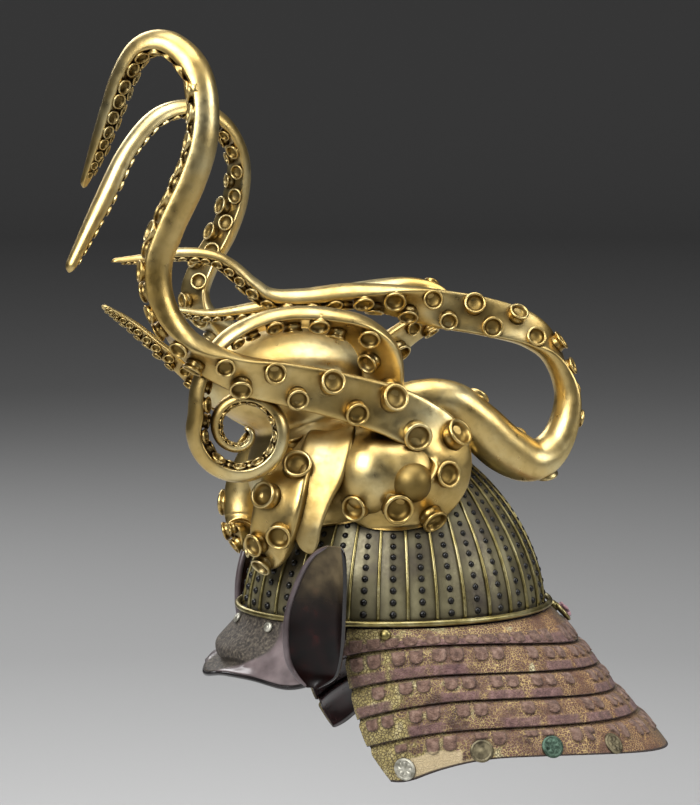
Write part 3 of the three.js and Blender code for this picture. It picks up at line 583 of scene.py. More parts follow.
def outside_bowl(points, out=BOWL["rib_height"] + CLEAR):
    """Pushes any point inside the bowl out along its ray from the origin to the bowl's skin."""
    x, y, z = np.moveaxis(points, -1, 0)
    q = np.hypot(x / (BOWL["side"] + out), y / (BOWL["length"] + out))
    t = np.clip(z / (BOWL["height"] + out), 0, None)
    fill = q ** (1 / DOME["roundness"]) + t ** DOME["fullness"]
    scale = np.where((fill < 1) & (z > 0), np.maximum(fill, 1e-3) ** -FILL_POWER, 1.0)
    return points * scale[..., None]


def bowl_plates():
    """Shell: outer and inner domes joined at the rim; each plate dips a little between its ribs."""
    columns = BOWL["ribs"] * PLATE["across"]
    angle = once_round(columns)[None, :]
    climb = 1 - (1 - np.linspace(0, 1, PLATE["up"])) ** 1.5
    t = (climb * 0.9995)[:, None]
    across = (angle / TURN * BOWL["ribs"]) % 1
    dip = PLATE["dip"] * np.sin(across * math.pi) ** 2
    step = PLATE["step"] * across
    outer = dome_point(angle, t, (step - dip) * (1 - t))
    inner = dome_point(angle, t[::-1], -BOWL["wall"] + 0 * angle)
    shell = tube("bowl_plates", np.concatenate([inner, outer]))
    dress(shell, IRON, "iron", "bowl")
    line(shell, RED, np.arange(len(shell.data.polygons)) < len(t) * columns)


def bowl_ribs():
    """Each rib is a rounded bead carried up a meridian and thinned towards the top."""
    t = (1 - (1 - np.linspace(0, 1, 48)) ** 1.5) * 0.985
    side = once_round(8)
    height = BOWL["rib_height"] - RIB["set_in"]
    half = (RIB["half"] - RIB["thins"] * t) / RIB["at_radius"]
    width = (half / np.maximum(dome_share(t, 1.0), 0.12))[:, None]
    out = RIB["middle"] + height * np.sin(side)[None, :] * (1 - 0.3 * t)[:, None]
    shapes = []
    for i in range(BOWL["ribs"]):
        angle = (i + 0.5) / BOWL["ribs"] * TURN + width * np.cos(side)[None, :]
        shapes.append(dome_point(angle, t[:, None] + 0 * angle, out))
    shapes = np.stack(shapes)
    ends = shapes[:, [0, -1]].mean(2)
    quads, tris = lathe_faces(len(t), len(side))
    ribs = many("bowl_ribs", np.concatenate([shapes.reshape(len(shapes), -1, 3), ends], 1), quads, tris)
    dress(ribs, GILT, "edging")


RIVET = np.array([(1.0, -0.5), (1.02, 0.1), (0.92, 0.5), (0.64, 0.84), (0.24, 1.0)])
# The first one's distance up from the rim, the pitch and radius at the rim and how much they
# shrink towards the top, and how deep each is sunk.
RIVET_ROW = {"start": 6.5, "pitch": 9.6, "closes": 3.2, "radius": 3.0, "shrinks": 1.1, "sunk": 0.6}


def bowl_rivets():
    """One row of domed rivets up the middle of every plate, closing up towards the top."""
    t_fine = np.linspace(0, 0.985, 400)
    meridian = dome_point(0.0, t_fine)
    run = run_along(meridian)
    reach = [RIVET_ROW["start"]]
    while reach[-1] < run[-1] - 8:
        reach.append(reach[-1] + RIVET_ROW["pitch"] - RIVET_ROW["closes"] * reach[-1] / run[-1])
    t = np.interp(reach, run, t_fine)
    angle = once_round(BOWL["ribs"])[:, None]
    sunk = -RIVET_ROW["sunk"]
    places = dome_point(angle, t[None, :] + 0 * angle, sunk).reshape(-1, 3)
    ahead = dome_point(angle, t[None, :] + 0.004, sunk).reshape(-1, 3)
    beside = dome_point(angle + 0.01, t[None, :] + 0 * angle, sunk).reshape(-1, 3)
    axes = np.cross(beside - places, ahead - places)
    sizes = np.tile(RIVET_ROW["radius"] - RIVET_ROW["shrinks"] * t, BOWL["ribs"])
    quads, tris = lathe_faces(len(RIVET), 10)
    rivets = many("bowl_rivets", turned(places, axes, RIVET, 10, sizes), quads, tris)
    dress(rivets, RIVETS, "iron")


def bowl_rim():
    """The gilt bead: a round bar carried round the rim."""
    angle = once_round(220)[:, None]
    a = once_round(14)
    out = RIM_BEAD["radius"] * np.cos(a)
    x = (RIM_BEAD["side"] + out) * np.sin(angle)
    y = -(RIM_BEAD["length"] + out) * np.cos(angle)
    z = RIM_BEAD["radius"] * np.sin(a) + 0 * x
    dress(looped("bowl_rim", np.stack([x, y, z], -1)), GILT, "edging", "bowl_rim_bead")


def bowl_band():
    """The plain band under the bowl's rim: an upright oval wall."""
    angle = once_round(160)
    top, bottom, inside = BAND["top"], BAND["bottom"], -BAND["wall"]
    wall = []
    for out, z in ((0, top), (0, bottom), (inside, bottom), (inside, top)):
        x = (BOWL["side"] + out) * np.sin(angle)
        y = -(BOWL["length"] + out) * np.cos(angle)
        wall.append(np.stack([x, y, np.full_like(x, z)], -1))
    band = looped("bowl_band_wall", np.stack(wall), smooth=False)
    dress(band, BLACK, "leather", "bowl_band")


def through(table, t):
    """Catmull-Rom through a table's rows; t counts rows."""
    table = np.asarray(table, dtype=float)
    extended = np.concatenate([[2 * table[0] - table[1]], table, [2 * table[-1] - table[-2]]])
    i = np.clip(np.floor(t).astype(int), 0, len(table) - 2)
    f = (t - i)[..., None]
    p0, p1, p2, p3 = (extended[i + k] for k in range(4))
    cubic = -p0 + 3 * p1 - 3 * p2 + p3
    square = 2 * p0 - 5 * p1 + 4 * p2 - p3
    return 0.5 * (2 * p1 + (p2 - p0) * f + square * f**2 + cubic * f**3)


# ---------------------------------------------------------------- peak
PEAK = {"span": 0.96, "top": -3.4, "drop": 42, "reach": 26, "wall": 2.6, "beak": 5}
CHEEK = {"dip": 8, "angle": 0.78, "width": 0.2}
# How far the middle of the peak stands out, from the rim to the lip: a brow, a dip and the beak.
BROW = np.array([[1.2], [3.6], [7.4], [12], [17], [21], [20.3], [15.5], [27]])
BROW_HALF = 0.42
# The leather panel's half angle at the rim and how much it narrows by the lip, the low fold
# along its edge, and the lip's radius.
PANEL = {"half": 0.58, "narrows": 0.44, "sunk": 0.5, "fold": 0.9, "beside": 0.05, "width": 0.03}
LIP = 2.0


def peak_point(angle, s, out=0.0):
    """Out and down from the bowl: reach grows as s^1.7 beside the brow and follows BROW within it."""
    beak = np.exp(-((angle / 0.16) ** 2))
    cheek = np.exp(-(((np.abs(angle) - CHEEK["angle"]) / CHEEK["width"]) ** 2))
    fade = np.sqrt(np.maximum(np.cos(angle / PEAK["span"] * 0.42 * math.pi), 0))
    side_reach = 1.2 + PEAK["reach"] * s**1.7 * (0.5 + 0.5 * fade)
    middle_reach = through(BROW, s * (len(BROW) - 1))[..., 0]
    near_middle = np.exp(-((angle / BROW_HALF) ** 4))
    reach = side_reach + (middle_reach - side_reach) * near_middle + PEAK["beak"] * beak * s**6 + out
    drop = PEAK["drop"] * s * (0.55 + 0.45 * fade) + (PEAK["beak"] * beak + CHEEK["dip"] * cheek) * s**2
    nx = np.sin(angle) * BOWL["length"]
    ny = -np.cos(angle) * BOWL["side"]
    n = np.hypot(nx, ny)
    x = BOWL["side"] * np.sin(angle) + nx / n * reach
    y = -BOWL["length"] * np.cos(angle) + ny / n * reach
    return np.stack(np.broadcast_arrays(x, y, PEAK["top"] - drop), -1)


def peak():
    """The peak's wall with a leather panel in its middle, and the rolled lip along its edge."""
    angle = np.linspace(-PEAK["span"], PEAK["span"], 200)[:, None]
    s = np.linspace(0, 1, 44)[None, :]
    past = np.abs(angle) - (PANEL["half"] - PANEL["narrows"] * s**4)
    panel = soft_step(-past * 160)
    fold = PANEL["fold"] * np.exp(-(((past - PANEL["beside"]) / PANEL["width"]) ** 2)) * s
    outer = peak_point(angle, s, PEAK["wall"] - PANEL["sunk"] * panel + fold)
    inner = peak_point(angle, s[:, ::-1], 0 * angle)
    rings = np.concatenate([outer, inner], 1)
    shade = np.concatenate([panel, 0 * panel], 1)
    dress(tube("peak_shell", rings, {"panel": shade}), PEAK_FINISH, "lacquer", "peak")
    path = peak_point(angle[:, 0], 1.0, PEAK["wall"] / 2)
    path[:, 2] -= LIP
    level = unit(path * [1, 1, 0])
    lip = path[:, None] + LIP * circles(level, np.array([[0, 0, 1.0]]), 12)
    dress(tube("peak_lip", lip), BLACK, "lacquer", "peak_edging")


STUD = np.array([(1.0, -0.3), (1.0, 0.16), (0.88, 0.34), (0.6, 0.5), (0.42, 0.4), (0.3, 0.5), (0.12, 0.56)])
STUDS = {"apart": 0.47, "level": 0.13, "radius": 4.2, "lift": 0.9}


def peak_studs():
    """Three low domed studs on the brow, each with a raised middle."""
    angles = np.array([-STUDS["apart"], 0.0, STUDS["apart"]])
    level, out = STUDS["level"], PEAK["wall"] + STUDS["lift"]
    at = peak_point(angles, level, out)
    down = peak_point(angles, level + 0.05, out) - at
    round_way = peak_point(angles + 0.05, level, out) - at
    axes = np.cross(down, round_way)
    axes *= np.where(axes[:, 1:2] > 0, -1, 1)
    shape = turned(at, axes, STUD, 28, np.full(3, STUDS["radius"]))
    quads, tris = lathe_faces(len(STUD), 28)
    studs = many("peak_studs", shape, quads, tris)
    dress(studs, SILVERED, "silvered", "peak_rivet_1", "peak_rivet_2", "peak_rivet_3")


# ---------------------------------------------------------------- neck guard
# Each edge from the rim to the hem: half an ellipse behind its centre and part of one before it.
SKIRT = np.array([
    # centre side rear front zRear zSide zFront end
    (0, 107, 125, 124, -4, -4, -4, 118),
    (14, 115, 149, 126, -32, -16, -26, 126),
    (26, 124, 164, 128, -50, -38, -52, 130),
    (38, 133, 178, 130, -70, -57, -76, 133),
    (49, 142, 196, 131, -88, -78, -97, 135),
    (60, 150, 223, 130, -119, -100, -131, 132),
], dtype=float)
HEM_CORNER = {"share": 0.08, "rise": 8}
MEDALLION = {"radius": 9, "level": 4.7}
MEDALLION_ANGLES = np.array([124, 98, 76, 54])
LAME = {"wall": 2.2, "tuck": 3.2, "overlap": 0.1, "shoulder": 0.06, "swell": 1.2}
LACES = {"pairs": 17, "apart": 6.8, "half": 5.2, "height": 2.4, "patch": 15.5, "uneven": 2.5}
# Down a lame, in shares of its depth: a tongue's top and foot, the length of its round end, the
# top of the band, and how much lower everything is on the top lame.
LACE_DROP = {"top": 0.06, "foot": 0.5, "round": 0.16, "band": 0.6, "first": 0.4}
LACES_LOST = {"tongues": 0.12, "bands": 0.15}
LAST = len(SKIRT) - 2  # the bottom lame's number
LAME_GRID = {"round": 560, "down": 40, "spread": 0.9, "share": 0.35}
# A bare patch of leather on the left of the hem: its middle and widths, round and down.
BARE = {"turn": 0.87, "drop": 0.8, "round": 0.13, "down": 0.4}


def skirt_point(level, turn, out=0.0):
    """The neck guard's surface: rows of SKIRT mixed by level, out along the normal in plan."""
    level, turn, out = np.broadcast_arrays(level, turn, out)
    row = np.clip(np.floor(level).astype(int), 0, len(SKIRT) - 2)
    f = (level - row)[..., None]
    centre, side, rear, front, z_rear, z_side, z_front, end = np.moveaxis(
        SKIRT[row] * (1 - f) + SKIRT[row + 1] * f, -1, 0
    )
    degrees = np.abs(turn) * end
    a = np.radians(degrees)
    behind = degrees < 90
    length = np.where(behind, rear - centre, front)
    x = side * np.sin(a) * np.where(turn < 0, -1, 1)
    y = centre + length * np.cos(a)
    front_share = (np.maximum(degrees, 90) - 90) / (end - 90)
    z_behind = z_side + (z_rear - z_side) * np.cos(a) ** 2
    z = np.where(behind, z_behind, z_side + (z_front - z_side) * front_share**2)
    near_end = np.maximum(0, (np.abs(turn) - 1 + HEM_CORNER["share"]) / HEM_CORNER["share"])
    z = z + np.maximum(0, level - len(SKIRT) + 2) * HEM_CORNER["rise"] * near_end**2
    nx = length * x / side
    ny = side * (y - centre) / length
    n = np.maximum(np.hypot(nx, ny), 1e-9)
    return np.stack([x + nx / n * out, y + ny / n * out, z], -1)


def lacing(index, turn, drop):
    """Lacing: heights of two round-ended tongues a pair and of the band below, square to the edge.

    A pair's place is counted along the lame; the lame's flare is taken off so they stand upright."""
    upper, lower = skirt_point(index + 0.0, turn[:, 0]), skirt_point(index + 1.0, turn[:, 0])
    along = unit(np.gradient(upper, axis=0))
    flare = ((lower - upper) * along).sum(1)[:, None]
    run = run_along(upper)[:, None]
    pitch = run[-1] / LACES["pairs"]
    straight = run + flare * (drop - 0.2)
    number = np.clip(np.floor(straight / pitch), 0, LACES["pairs"] - 1).astype(int)
    astray = LACES["uneven"] * (rng.random(LACES["pairs"]) - 0.5)
    offset = straight - (number + 0.5) * pitch + astray[number]
    kept = rng.random((3, LACES["pairs"]))
    v = drop - (LACE_DROP["first"] if index == 0 else 0.0)
    into_end = np.maximum(0, (v - LACE_DROP["foot"] + LACE_DROP["round"]) / LACE_DROP["round"])
    tongues = np.zeros(straight.shape)
    for sign, whole in ((-1, kept[0][number]), (1, kept[1][number])):
        across = np.abs(offset - sign * LACES["apart"]) / LACES["half"]
        outline = np.maximum(across, np.sqrt(across**2 + into_end**2 * 0.9))
        outline = np.maximum(outline, 1 + (LACE_DROP["top"] - v) * 20)
        tongue = soft_step((1 - outline) * 18) * (whole > LACES_LOST["tongues"])
        tongues = np.maximum(tongues, tongue * (1 - 0.2 * across**2))
    if index == LAST:
        near = np.abs(np.abs(turn[..., None]) * SKIRT[-1, -1] - MEDALLION_ANGLES).min(-1)
        tongues = tongues * (1 - soft_step((5.5 - near) * 3) * soft_step((drop - 0.25) * 40))
        return tongues, 0 * tongues
    wide = np.abs(offset) / LACES["patch"] if index else 0 * offset
    band = soft_step((1 - wide) * 16) * soft_step((drop - LACE_DROP["band"]) * 60)
    return tongues, 0.55 * band * (kept[2][number] > LACES_LOST["bands"])


def lame(index):
    """One lame: tucked under the last, swelling, with its lacing raised on the outside.

    Its columns are a little closer together towards the ends than even ones would be."""
    tuck = -LAME["tuck"] if index else 0.0
    start = LAME["shoulder"] if index else 0.0
    even = np.linspace(-1, 1, LAME_GRID["round"])
    wide = math.pi / 2 * LAME_GRID["spread"]
    turn = LAME_GRID["share"] * (np.sin(even * wide) / math.sin(wide)) + (1 - LAME_GRID["share"]) * even
    turn = turn[:, None]
    v = np.linspace(0, 1, LAME_GRID["down"])[None, :]
    level = index + start + (1 - start) * v
    swell = tuck + (LAME["swell"] - tuck) * np.sin(np.minimum(v / 0.24, 1) * math.pi / 2)
    swell = swell - LAME["swell"] * np.maximum(0, (v - 0.5) / 0.5) ** 2 + 0 * turn
    tongues, band = lacing(index, turn, v)
    relief = np.maximum(tongues, band)
    # Where the dark lower edge begins: wider on the bottom lame's lacquered hem; on every lame it is partly
    # a painted shadow line.
    hem = 0.94 if index == LAST else 0.975
    edge = soft_step((v - hem) * 220) + 0 * turn
    height = LACES["height"] * relief * (1 - edge)
    top = np.array([[index - LAME["overlap"], index - 0.03]]) if index else np.zeros((1, 0))
    tucked = tuck + 0 * turn + 0 * top
    levels = np.concatenate([top + 0 * turn, level + 0 * turn], 1)
    outer = skirt_point(levels, turn, np.concatenate([tucked, swell + height], 1))
    under = np.concatenate([tucked, swell], 1) - LAME["wall"]
    inner = skirt_point(levels, turn, under)[:, ::-4]
    rings = np.concatenate([outer, inner], 1)
    side = np.abs(turn) + 0 * v
    patch = ((turn - BARE["turn"]) / BARE["round"]) ** 2 + ((v - BARE["drop"]) / BARE["down"]) ** 2
    fields = {
        "silk": np.clip(relief * 2.2 - 0.35, 0, 1),
        "band": np.clip(band * 2.4 - tongues * 2, 0, 1),
        "edge": edge,
        "age": np.clip(1.1 - side * 1.5, 0, 1),
        "front": np.clip((side - 0.8) / 0.3, 0, 0.9),
        "bare": (index == LAST) * (turn > 0) * np.exp(-patch),
        # Painted shade outlining each raised tongue.
        "seam": 0.85 * np.exp(-(((tongues - 0.42) / 0.2) ** 2)),
    }
    before, after = np.zeros(tucked.shape), np.zeros(inner.shape[:2])
    values = {}
    for key, field in fields.items():
        values[key] = np.concatenate([before, field, after + (key == "edge")], 1)
    piece = tube(f"lame_{index + 1}_leather", rings, values)
    dress(piece, LEATHER, "leather", f"lame_{index + 1}")
    column = np.arange(len(piece.data.polygons)) % rings.shape[1]
    line(piece, RED, column >= outer.shape[1])


def skirt_face(level, degrees, side):
    """A place on the neck guard and the direction straight out of it."""
    row = min(len(SKIRT) - 1, math.ceil(level))
    turn = degrees / SKIRT[row, -1] * side
    at = skirt_point(level, turn)
    down = skirt_point(level + 0.1, turn) - at
    around = skirt_point(level, turn + 0.02) - at
    normal = unit(np.cross(down, around))
    outward = normal[0] * at[0] + normal[1] * (at[1] - SKIRT[row, 0])
    return at, normal if outward > 0 else -normal


# Heights in millimetres: the disc's face, foot and edge over where it stands, and what rises
# from the face. A bump is its height, the share of the radius where it is, and its width.
DISC = {"face": 0.9, "foot": -0.6, "edge": 0.55, "stands": 1.0}
DISC_RIM = (0.5, 0.86, 0.06)
DISC_MIDDLE = (0.35, 0.0, 0.22)
DISC_PETALS = (0.9, 0.52, 0.2)


def bump(r, height, place, width):
    """A smooth ridge, highest where r is place: height times e^-((r - place) / width)^2."""
    return height * np.exp(-(((r - place) / width) ** 2))


def medallion(name, at, normal, petals, metal, node_name):
    """A disc whose height follows a rim, a ring of petals and a raised middle."""
    r = np.linspace(1, 0.03, 26)[:, None]
    a = once_round(72)[None, :]
    height = DISC["face"] + bump(r, *DISC_RIM) + bump(r, *DISC_MIDDLE)
    if petals:
        height = height + np.abs(np.cos(petals / 2 * a)) * bump(r, *DISC_PETALS)
    radii = MEDALLION["radius"] * np.concatenate([[[1.0], [1.0]], r * 0.97])
    heights = DISC["stands"] + np.concatenate([[[DISC["foot"]], [DISC["edge"]]] + 0 * a, height + 0 * a])
    level, up = square_to(normal)
    circle = circles(level[None], up[None], a.size)
    rings = at + circle * radii[..., None] + normal * heights[..., None]
    dress(tube(name, rings), metal, "silvered", node_name)


# ---------------------------------------------------------------- wings
WING = np.array([
    # z bendX bendY freeX freeY hollow
    (67, 131, -82, 139, -73, 1),
    (58, 117, -90, 139, -71, 4),
    (42, 108, -98, 138, -70, 7),
    (14, 103, -107, 135, -70, 9),
    (-8, 103, -109, 131, -70, 9),
    (-26, 103, -107, 125, -71, 7),
    (-38, 104, -101, 119, -74, 4),
    (-47, 107, -93, 112, -85, 1),
], dtype=float)
WING_WALL = 2.6
LEATHER_FROM = 0.66  # the share of the wing's height above which it is covered with leather


def wing(side):
    """A hollowed leaf: straight between its two edges in plan, bowed inwards by its hollow."""
    rows = through(WING, np.linspace(0, len(WING) - 1, 72))
    z, bend_x, bend_y, free_x, free_y, hollow = (c[:, None] for c in rows.T)
    s = np.linspace(0, 1, 26)[None, :]
    dx, dy = free_x - bend_x, free_y - bend_y
    n = np.hypot(dx, dy)

    def leaf(out):
        """The leaf's face, pushed out along its normal in plan."""
        bow = hollow * 4 * s * (1 - s) + out
        plan = [bend_x + dx * s - dy / n * bow, bend_y + dy * s + dx / n * bow, z + 0 * s]
        return np.stack(plan, -1) * [side, 1, 1]

    name = "left" if side > 0 else "right"
    rings = np.concatenate([leaf(0.0), leaf(WING_WALL)[:, ::-1]], 1)
    rise = np.repeat(np.linspace(1, 0, len(rings))[:, None], rings.shape[1], 1)
    leather = soft_step((rise - LEATHER_FROM) * 40)
    dress(tube(f"wing_{name}_leaf", rings, {"leather": leather}), WING_FINISH, "lacquer", f"wing_{name}")
    middle = leaf(WING_WALL / 2)
    taper = np.sqrt(np.maximum(1 - np.linspace(-1, 1, len(rows)) ** 8, 0.05))[:, None, None]
    # The fold's mauve lacquer is a painted reflection along the bend; the free edge is black.
    for edge, column, radius, material in (("fold", 0, 2.6, FOLD_LACQUER_WITH_PAINTED_REFLECTION), ("edge", -1, 1.6, BLACK)):
        path = middle[:, column]
        outward = unit(path - middle[:, 13])
        beside = unit(np.cross(outward, np.gradient(path, axis=0)))
        bar = path[:, None] + radius * taper * circles(outward, beside, 12)
        dress(tube(f"wing_{name}_{edge}", bar), material, "lacquer")


# ---------------------------------------------------------------- small fittings
RING = {"radius": 8.5, "bar": 1.6, "off": 4.6}
# The cord's path: its mean distance from the ring's middle and from the lame, and how far it weaves.
KNOT = {"reach": 4.6, "weave": 1.6, "off": 1.8, "cord": 1.7}
BUTTON = np.array([(1.0, -0.6), (1.0, 0.05), (0.92, 0.3), (0.7, 0.5), (0.4, 0.62), (0.15, 0.66)])


def bar_along(name, path, radius, material, slot, *nodes):
    """A round bar along a closed path."""
    along = unit(np.roll(path, -1, 0) - np.roll(path, 1, 0))
    up = off_line(path - path.mean(0), along)
    rings = path[:, None] + radius * circles(up, np.cross(along, up), 12)
    dress(looped(name, rings), material, slot, *nodes)


def medallions():
    """Four discs along the hem of each side; the front one is a silvered rosette."""
    finishes = [(SILVERED, 8), (OLIVE, 0), (GREEN, 6), (OLIVE, 6)]
    for name, side in (("left", 1), ("right", -1)):
        for i, degrees in enumerate(MEDALLION_ANGLES):
            metal, petals = finishes[i]
            at, normal = skirt_face(MEDALLION["level"], degrees, side)
            number = f"{name}_{i + 1}"
            medallion(f"hem_disc_{number}", at, normal, petals, metal, f"medallion_{number}")


def small_studs():
    """A gilt knob at each side of the top lame, and the stud behind it that holds the ring."""
    for name, level, degrees, side, radius, node_name in (
        ("side_button_left", 0.3, 111, 1, 4.4, "side_knob_left"),
        ("side_button_right", 0.3, 111, -1, 4.4, "side_knob_right"),
        ("rear_button", 0.2, 0, 1, 5.2, "rear_stud"),
    ):
        at, normal = skirt_face(level, degrees, side)
        quads, tris = lathe_faces(len(BUTTON), 28)
        at = at + normal * 2.6
        shape = turned(at[None], normal[None], BUTTON, 28, np.array([radius]))
        dress(many(name, shape, quads, tris), GILT, "edging", node_name)


def rear_fittings():
    """The ring that lies against the top lame, and the knot of silk cord through it."""
    at, normal = skirt_face(0.42, 0, 1)
    centre = at + normal * RING["off"]
    level, up = square_to(normal)
    a = once_round(72)[:, None]
    path = centre + RING["radius"] * (level * np.cos(a) + up * np.sin(a))
    bar_along("rear_ring_bar", path, RING["bar"], GILT, "edging", "rear_ring")
    a = once_round(120)[:, None]
    reach = KNOT["reach"] + KNOT["weave"] * np.cos(3 * a)
    off = KNOT["off"] * (1 + np.sin(3 * a))
    knot = centre + normal * off + reach * (level * np.cos(2 * a) + up * np.sin(2 * a))
    bar_along("rear_cord_knot", knot, KNOT["cord"], CORD, "leather")


# ---------------------------------------------------------------- octopus
HEAD_MIDDLE = np.array([0.0, -56.0, 146.0])
HEAD = np.array([
    # x y z of the middle, half widths along x y z
    (0, -82, 182, 58, 76, 41),  # mantle
    (0, -34, 108, 80, 84, 66),  # crown
    (67, -8, 111, 29, 29, 33),  # mounds under the eyes
    (-67, -8, 111, 29, 29, 33),
    (71, -33, 112, 23, 25, 30),  # lobes in front of the eyes
    (-71, -33, 112, 23, 25, 30),
], dtype=float)
HEAD_BLEND = 9
HEAD_STRIDE = 4.0
EYE = {"x": 87.5, "y": -6, "z": 108.5, "radius": 16.8}


def octopus_head():
    """Rays from one middle meet the skin where the ellipsoids' soft sum falls to 1.

    The sum is of exp(-blend * (q - 1)), q being a point's share of the way out of an ellipsoid."""
    rays = sphere(170, 300, 0.004)

    def full(distance):
        """Whether each ray is inside the head at a distance."""
        points = HEAD_MIDDLE + rays * distance[..., None]
        q = [np.linalg.norm((points - row[:3]) / row[3:], axis=-1) for row in HEAD]
        return sum(np.exp(-HEAD_BLEND * (one - 1)) for one in q) > 1

    inner = np.zeros(rays.shape[:2])
    for distance in np.arange(10, 170, HEAD_STRIDE):
        inner = np.where(full(inner * 0 + distance), distance, inner)
    outer = inner + HEAD_STRIDE
    for _ in range(12):
        middle = (inner + outer) / 2
        inside = full(middle)
        inner = np.where(inside, middle, inner)
        outer = np.where(inside, outer, middle)
    skin = outside_bowl(HEAD_MIDDLE + rays * inner[..., None])
    dress(tube("octopus_head_skin", skin), GOLD, "gilt", "octopus_head")


def octopus_eyes():
    """Each eye is a darker ball, sunk in its mound."""
    ball = np.roll(sphere(40, 64, 0.02), 1, -1)
    for name, side in (("left", 1), ("right", -1)):
        skin = outside_bowl(np.array([side * EYE["x"], EYE["y"], EYE["z"]]) + EYE["radius"] * ball)
        dress(tube(f"eye_{name}", skin, {"patina": np.full(skin.shape[:2], 0.8)}), GOLD, "gilt")


# Arm routes from root to tip. Columns: x, y, z of the middle of the arm, its half width, and
# the direction that its sucker face looks in.
CURL_ROOT = np.array([
    (38, -52, 146, 15, 0.4, -0.8, 0.3),
    (62, -49, 132, 17, 0.8, -0.5, 0.3),
    (75, -46, 109, 18, 1, -0.3, 0),
    (81, -36, 90, 19, 1, -0.1, -0.5),
    (83.5, -14, 83, 20, 0.95, 0, -0.5),
    (85, 11, 92, 21, 0.9, 0.4, -0.4),
    (79, 28, 115, 21, 0.8, 0.6, 0.1),
    (76, 20, 140, 21, 0.9, 0.3, 0.3),
    (81, -17, 162, 20, 1, 0, 0.1),
], dtype=float)
LEFT_CREST = np.array([
    (86, -58, 176, 18.5, 1, 0, 0),
    (90, -102, 187, 17, 1, -0.1, -0.1),
    (92, -146, 197, 15.5, 0.9, -0.3, -0.5),
    (92, -185, 217, 14.5, 0.3, -0.7, -0.7),
    (90, -206, 248, 14.5, -0.2, -0.95, -0.3),
    (88, -210, 281, 15, -0.3, -0.9, 0),
    (89, -200, 312, 15, -0.3, -0.9, 0.2),
    (90, -184, 346, 15, -0.3, -0.9, 0.1),
    (90, -174, 377, 14.5, -0.3, -0.9, 0),
    (86, -172, 409, 13.5, -0.3, -0.9, -0.2),
    (78, -178, 432, 13, -0.3, -0.5, -0.7),
    (66, -193, 446, 12, 0, 0, -1),
    (56, -209, 443, 11.5, 0.45, 0.6, -0.6),
    (50, -221, 425, 11, 0.6, 0.75, -0.3),
    (45, -231, 397, 10, 0.6, 0.75, 0),
    (39, -241, 367, 8, 0.6, 0.75, 0),
    (32, -253, 337, 3.5, 0.6, 0.75, 0),
], dtype=float)
RIGHT_CREST = np.array([
    (-84, -60, 180, 18, -1, 0, 0),
    (-86, -104, 196, 16, -0.6, -0.3, -0.7),
    (-88, -137, 218, 14, 0.3, -0.7, -0.5),
    (-89, -146, 240, 13, 0.6, -0.8, 0),
    (-91, -138, 264, 12.5, 0.6, -0.8, 0.2),
    (-92, -122, 292, 12.5, 0.5, -0.85, 0.3),
    (-92, -112, 320, 12, 0.5, -0.85, 0),
    (-88, -111, 349, 11, 0.4, -0.9, -0.2),
    (-80, -124, 375, 10, 0.2, -0.6, -0.7),
    (-70, -148, 389, 9.5, 0, 0, -1),
    (-58, -178, 385, 9, -0.2, 0.5, -0.8),
    (-48, -204, 360, 8.5, -0.4, 0.85, -0.4),
    (-40, -226, 320, 8.8, -0.4, 0.9, -0.2),
    (-30, -256, 266, 5, -0.4, 0.9, -0.2),
], dtype=float)
REAR_LOOP = np.array([
    (26, -34, 152, 18, -0.6, 0, 0.8),
    (38, 2, 163, 19.5, -0.9, 0, 0.4),
    (37, 33, 163, 20, -0.9, 0, 0.4),
    (33, 58, 147, 20, -0.9, 0.3, 0.4),
    (27, 84, 124, 19.5, -0.9, 0.2, 0),
    (18, 111, 113, 18, -0.7, 0.3, -0.6),
    (12, 133, 128, 16, -0.4, 0.8, -0.5),
    (8, 143, 162, 14.5, -0.2, 1, 0),
    (4, 133, 196, 14.5, 0.3, 0.8, 0.4),
    (2, 110, 216, 15, 0.8, 0.2, 0.5),
    (0, 74, 227, 15.5, 1, 0, 0.25),
    (-2, 42, 233, 15.5, 1, 0, 0),
    (-4, 8, 239, 15, 0.8, 0, -0.6),
    (-6, -35, 243, 14, 0.3, 0, -1),
    (-6, -72, 241, 12.5, 0.2, 0, -1),
    (-6, -99, 243, 11, 0.2, -0.3, -1),
    (-6, -116, 254, 10, 0.3, -0.8, -0.6),
    (-6, -131, 268, 9, 0.3, -0.7, -0.7),
    (-6, -147, 277, 8, 0.2, -0.4, -0.9),
    (-6, -171, 280, 7, 0.1, 0, -1),
    (-6, -199, 277, 5.5, 0.1, 0.1, -1),
    (-6, -226, 276, 2.8, 0.1, 0, -1),
], dtype=float)
RIGHT_LOOP = np.array([
    (-30, -22, 140, 15, 0, 0.6, 0.6),
    (-50, -6, 166, 14.5, 0.6, 0.8, -0.1),
    (-60, 2, 190, 14, 0.7, 0.6, -0.3),
    (-64, 26, 208, 13, 0.8, 0.2, -0.5),
    (-72, 50, 219, 12, 0.6, 0.6, -0.5),
    (-86, 62, 231, 11.5, 0, 1, 0.2),
    (-97, 44, 239, 11, -0.8, 0.4, 0.4),
    (-92, 4, 240, 10.5, -0.7, 0, -0.7),
    (-80, -46, 236, 9.5, -0.2, 0, -1),
    (-68, -95, 230, 8.5, 0, 0, -1),
    (-60, -136, 226, 7, 0.2, 0, -1),
    (-54, -164, 230, 5.5, 0.2, 0, -1),
    (-49, -187, 233, 2.8, 0.2, 0, -1),
], dtype=float)
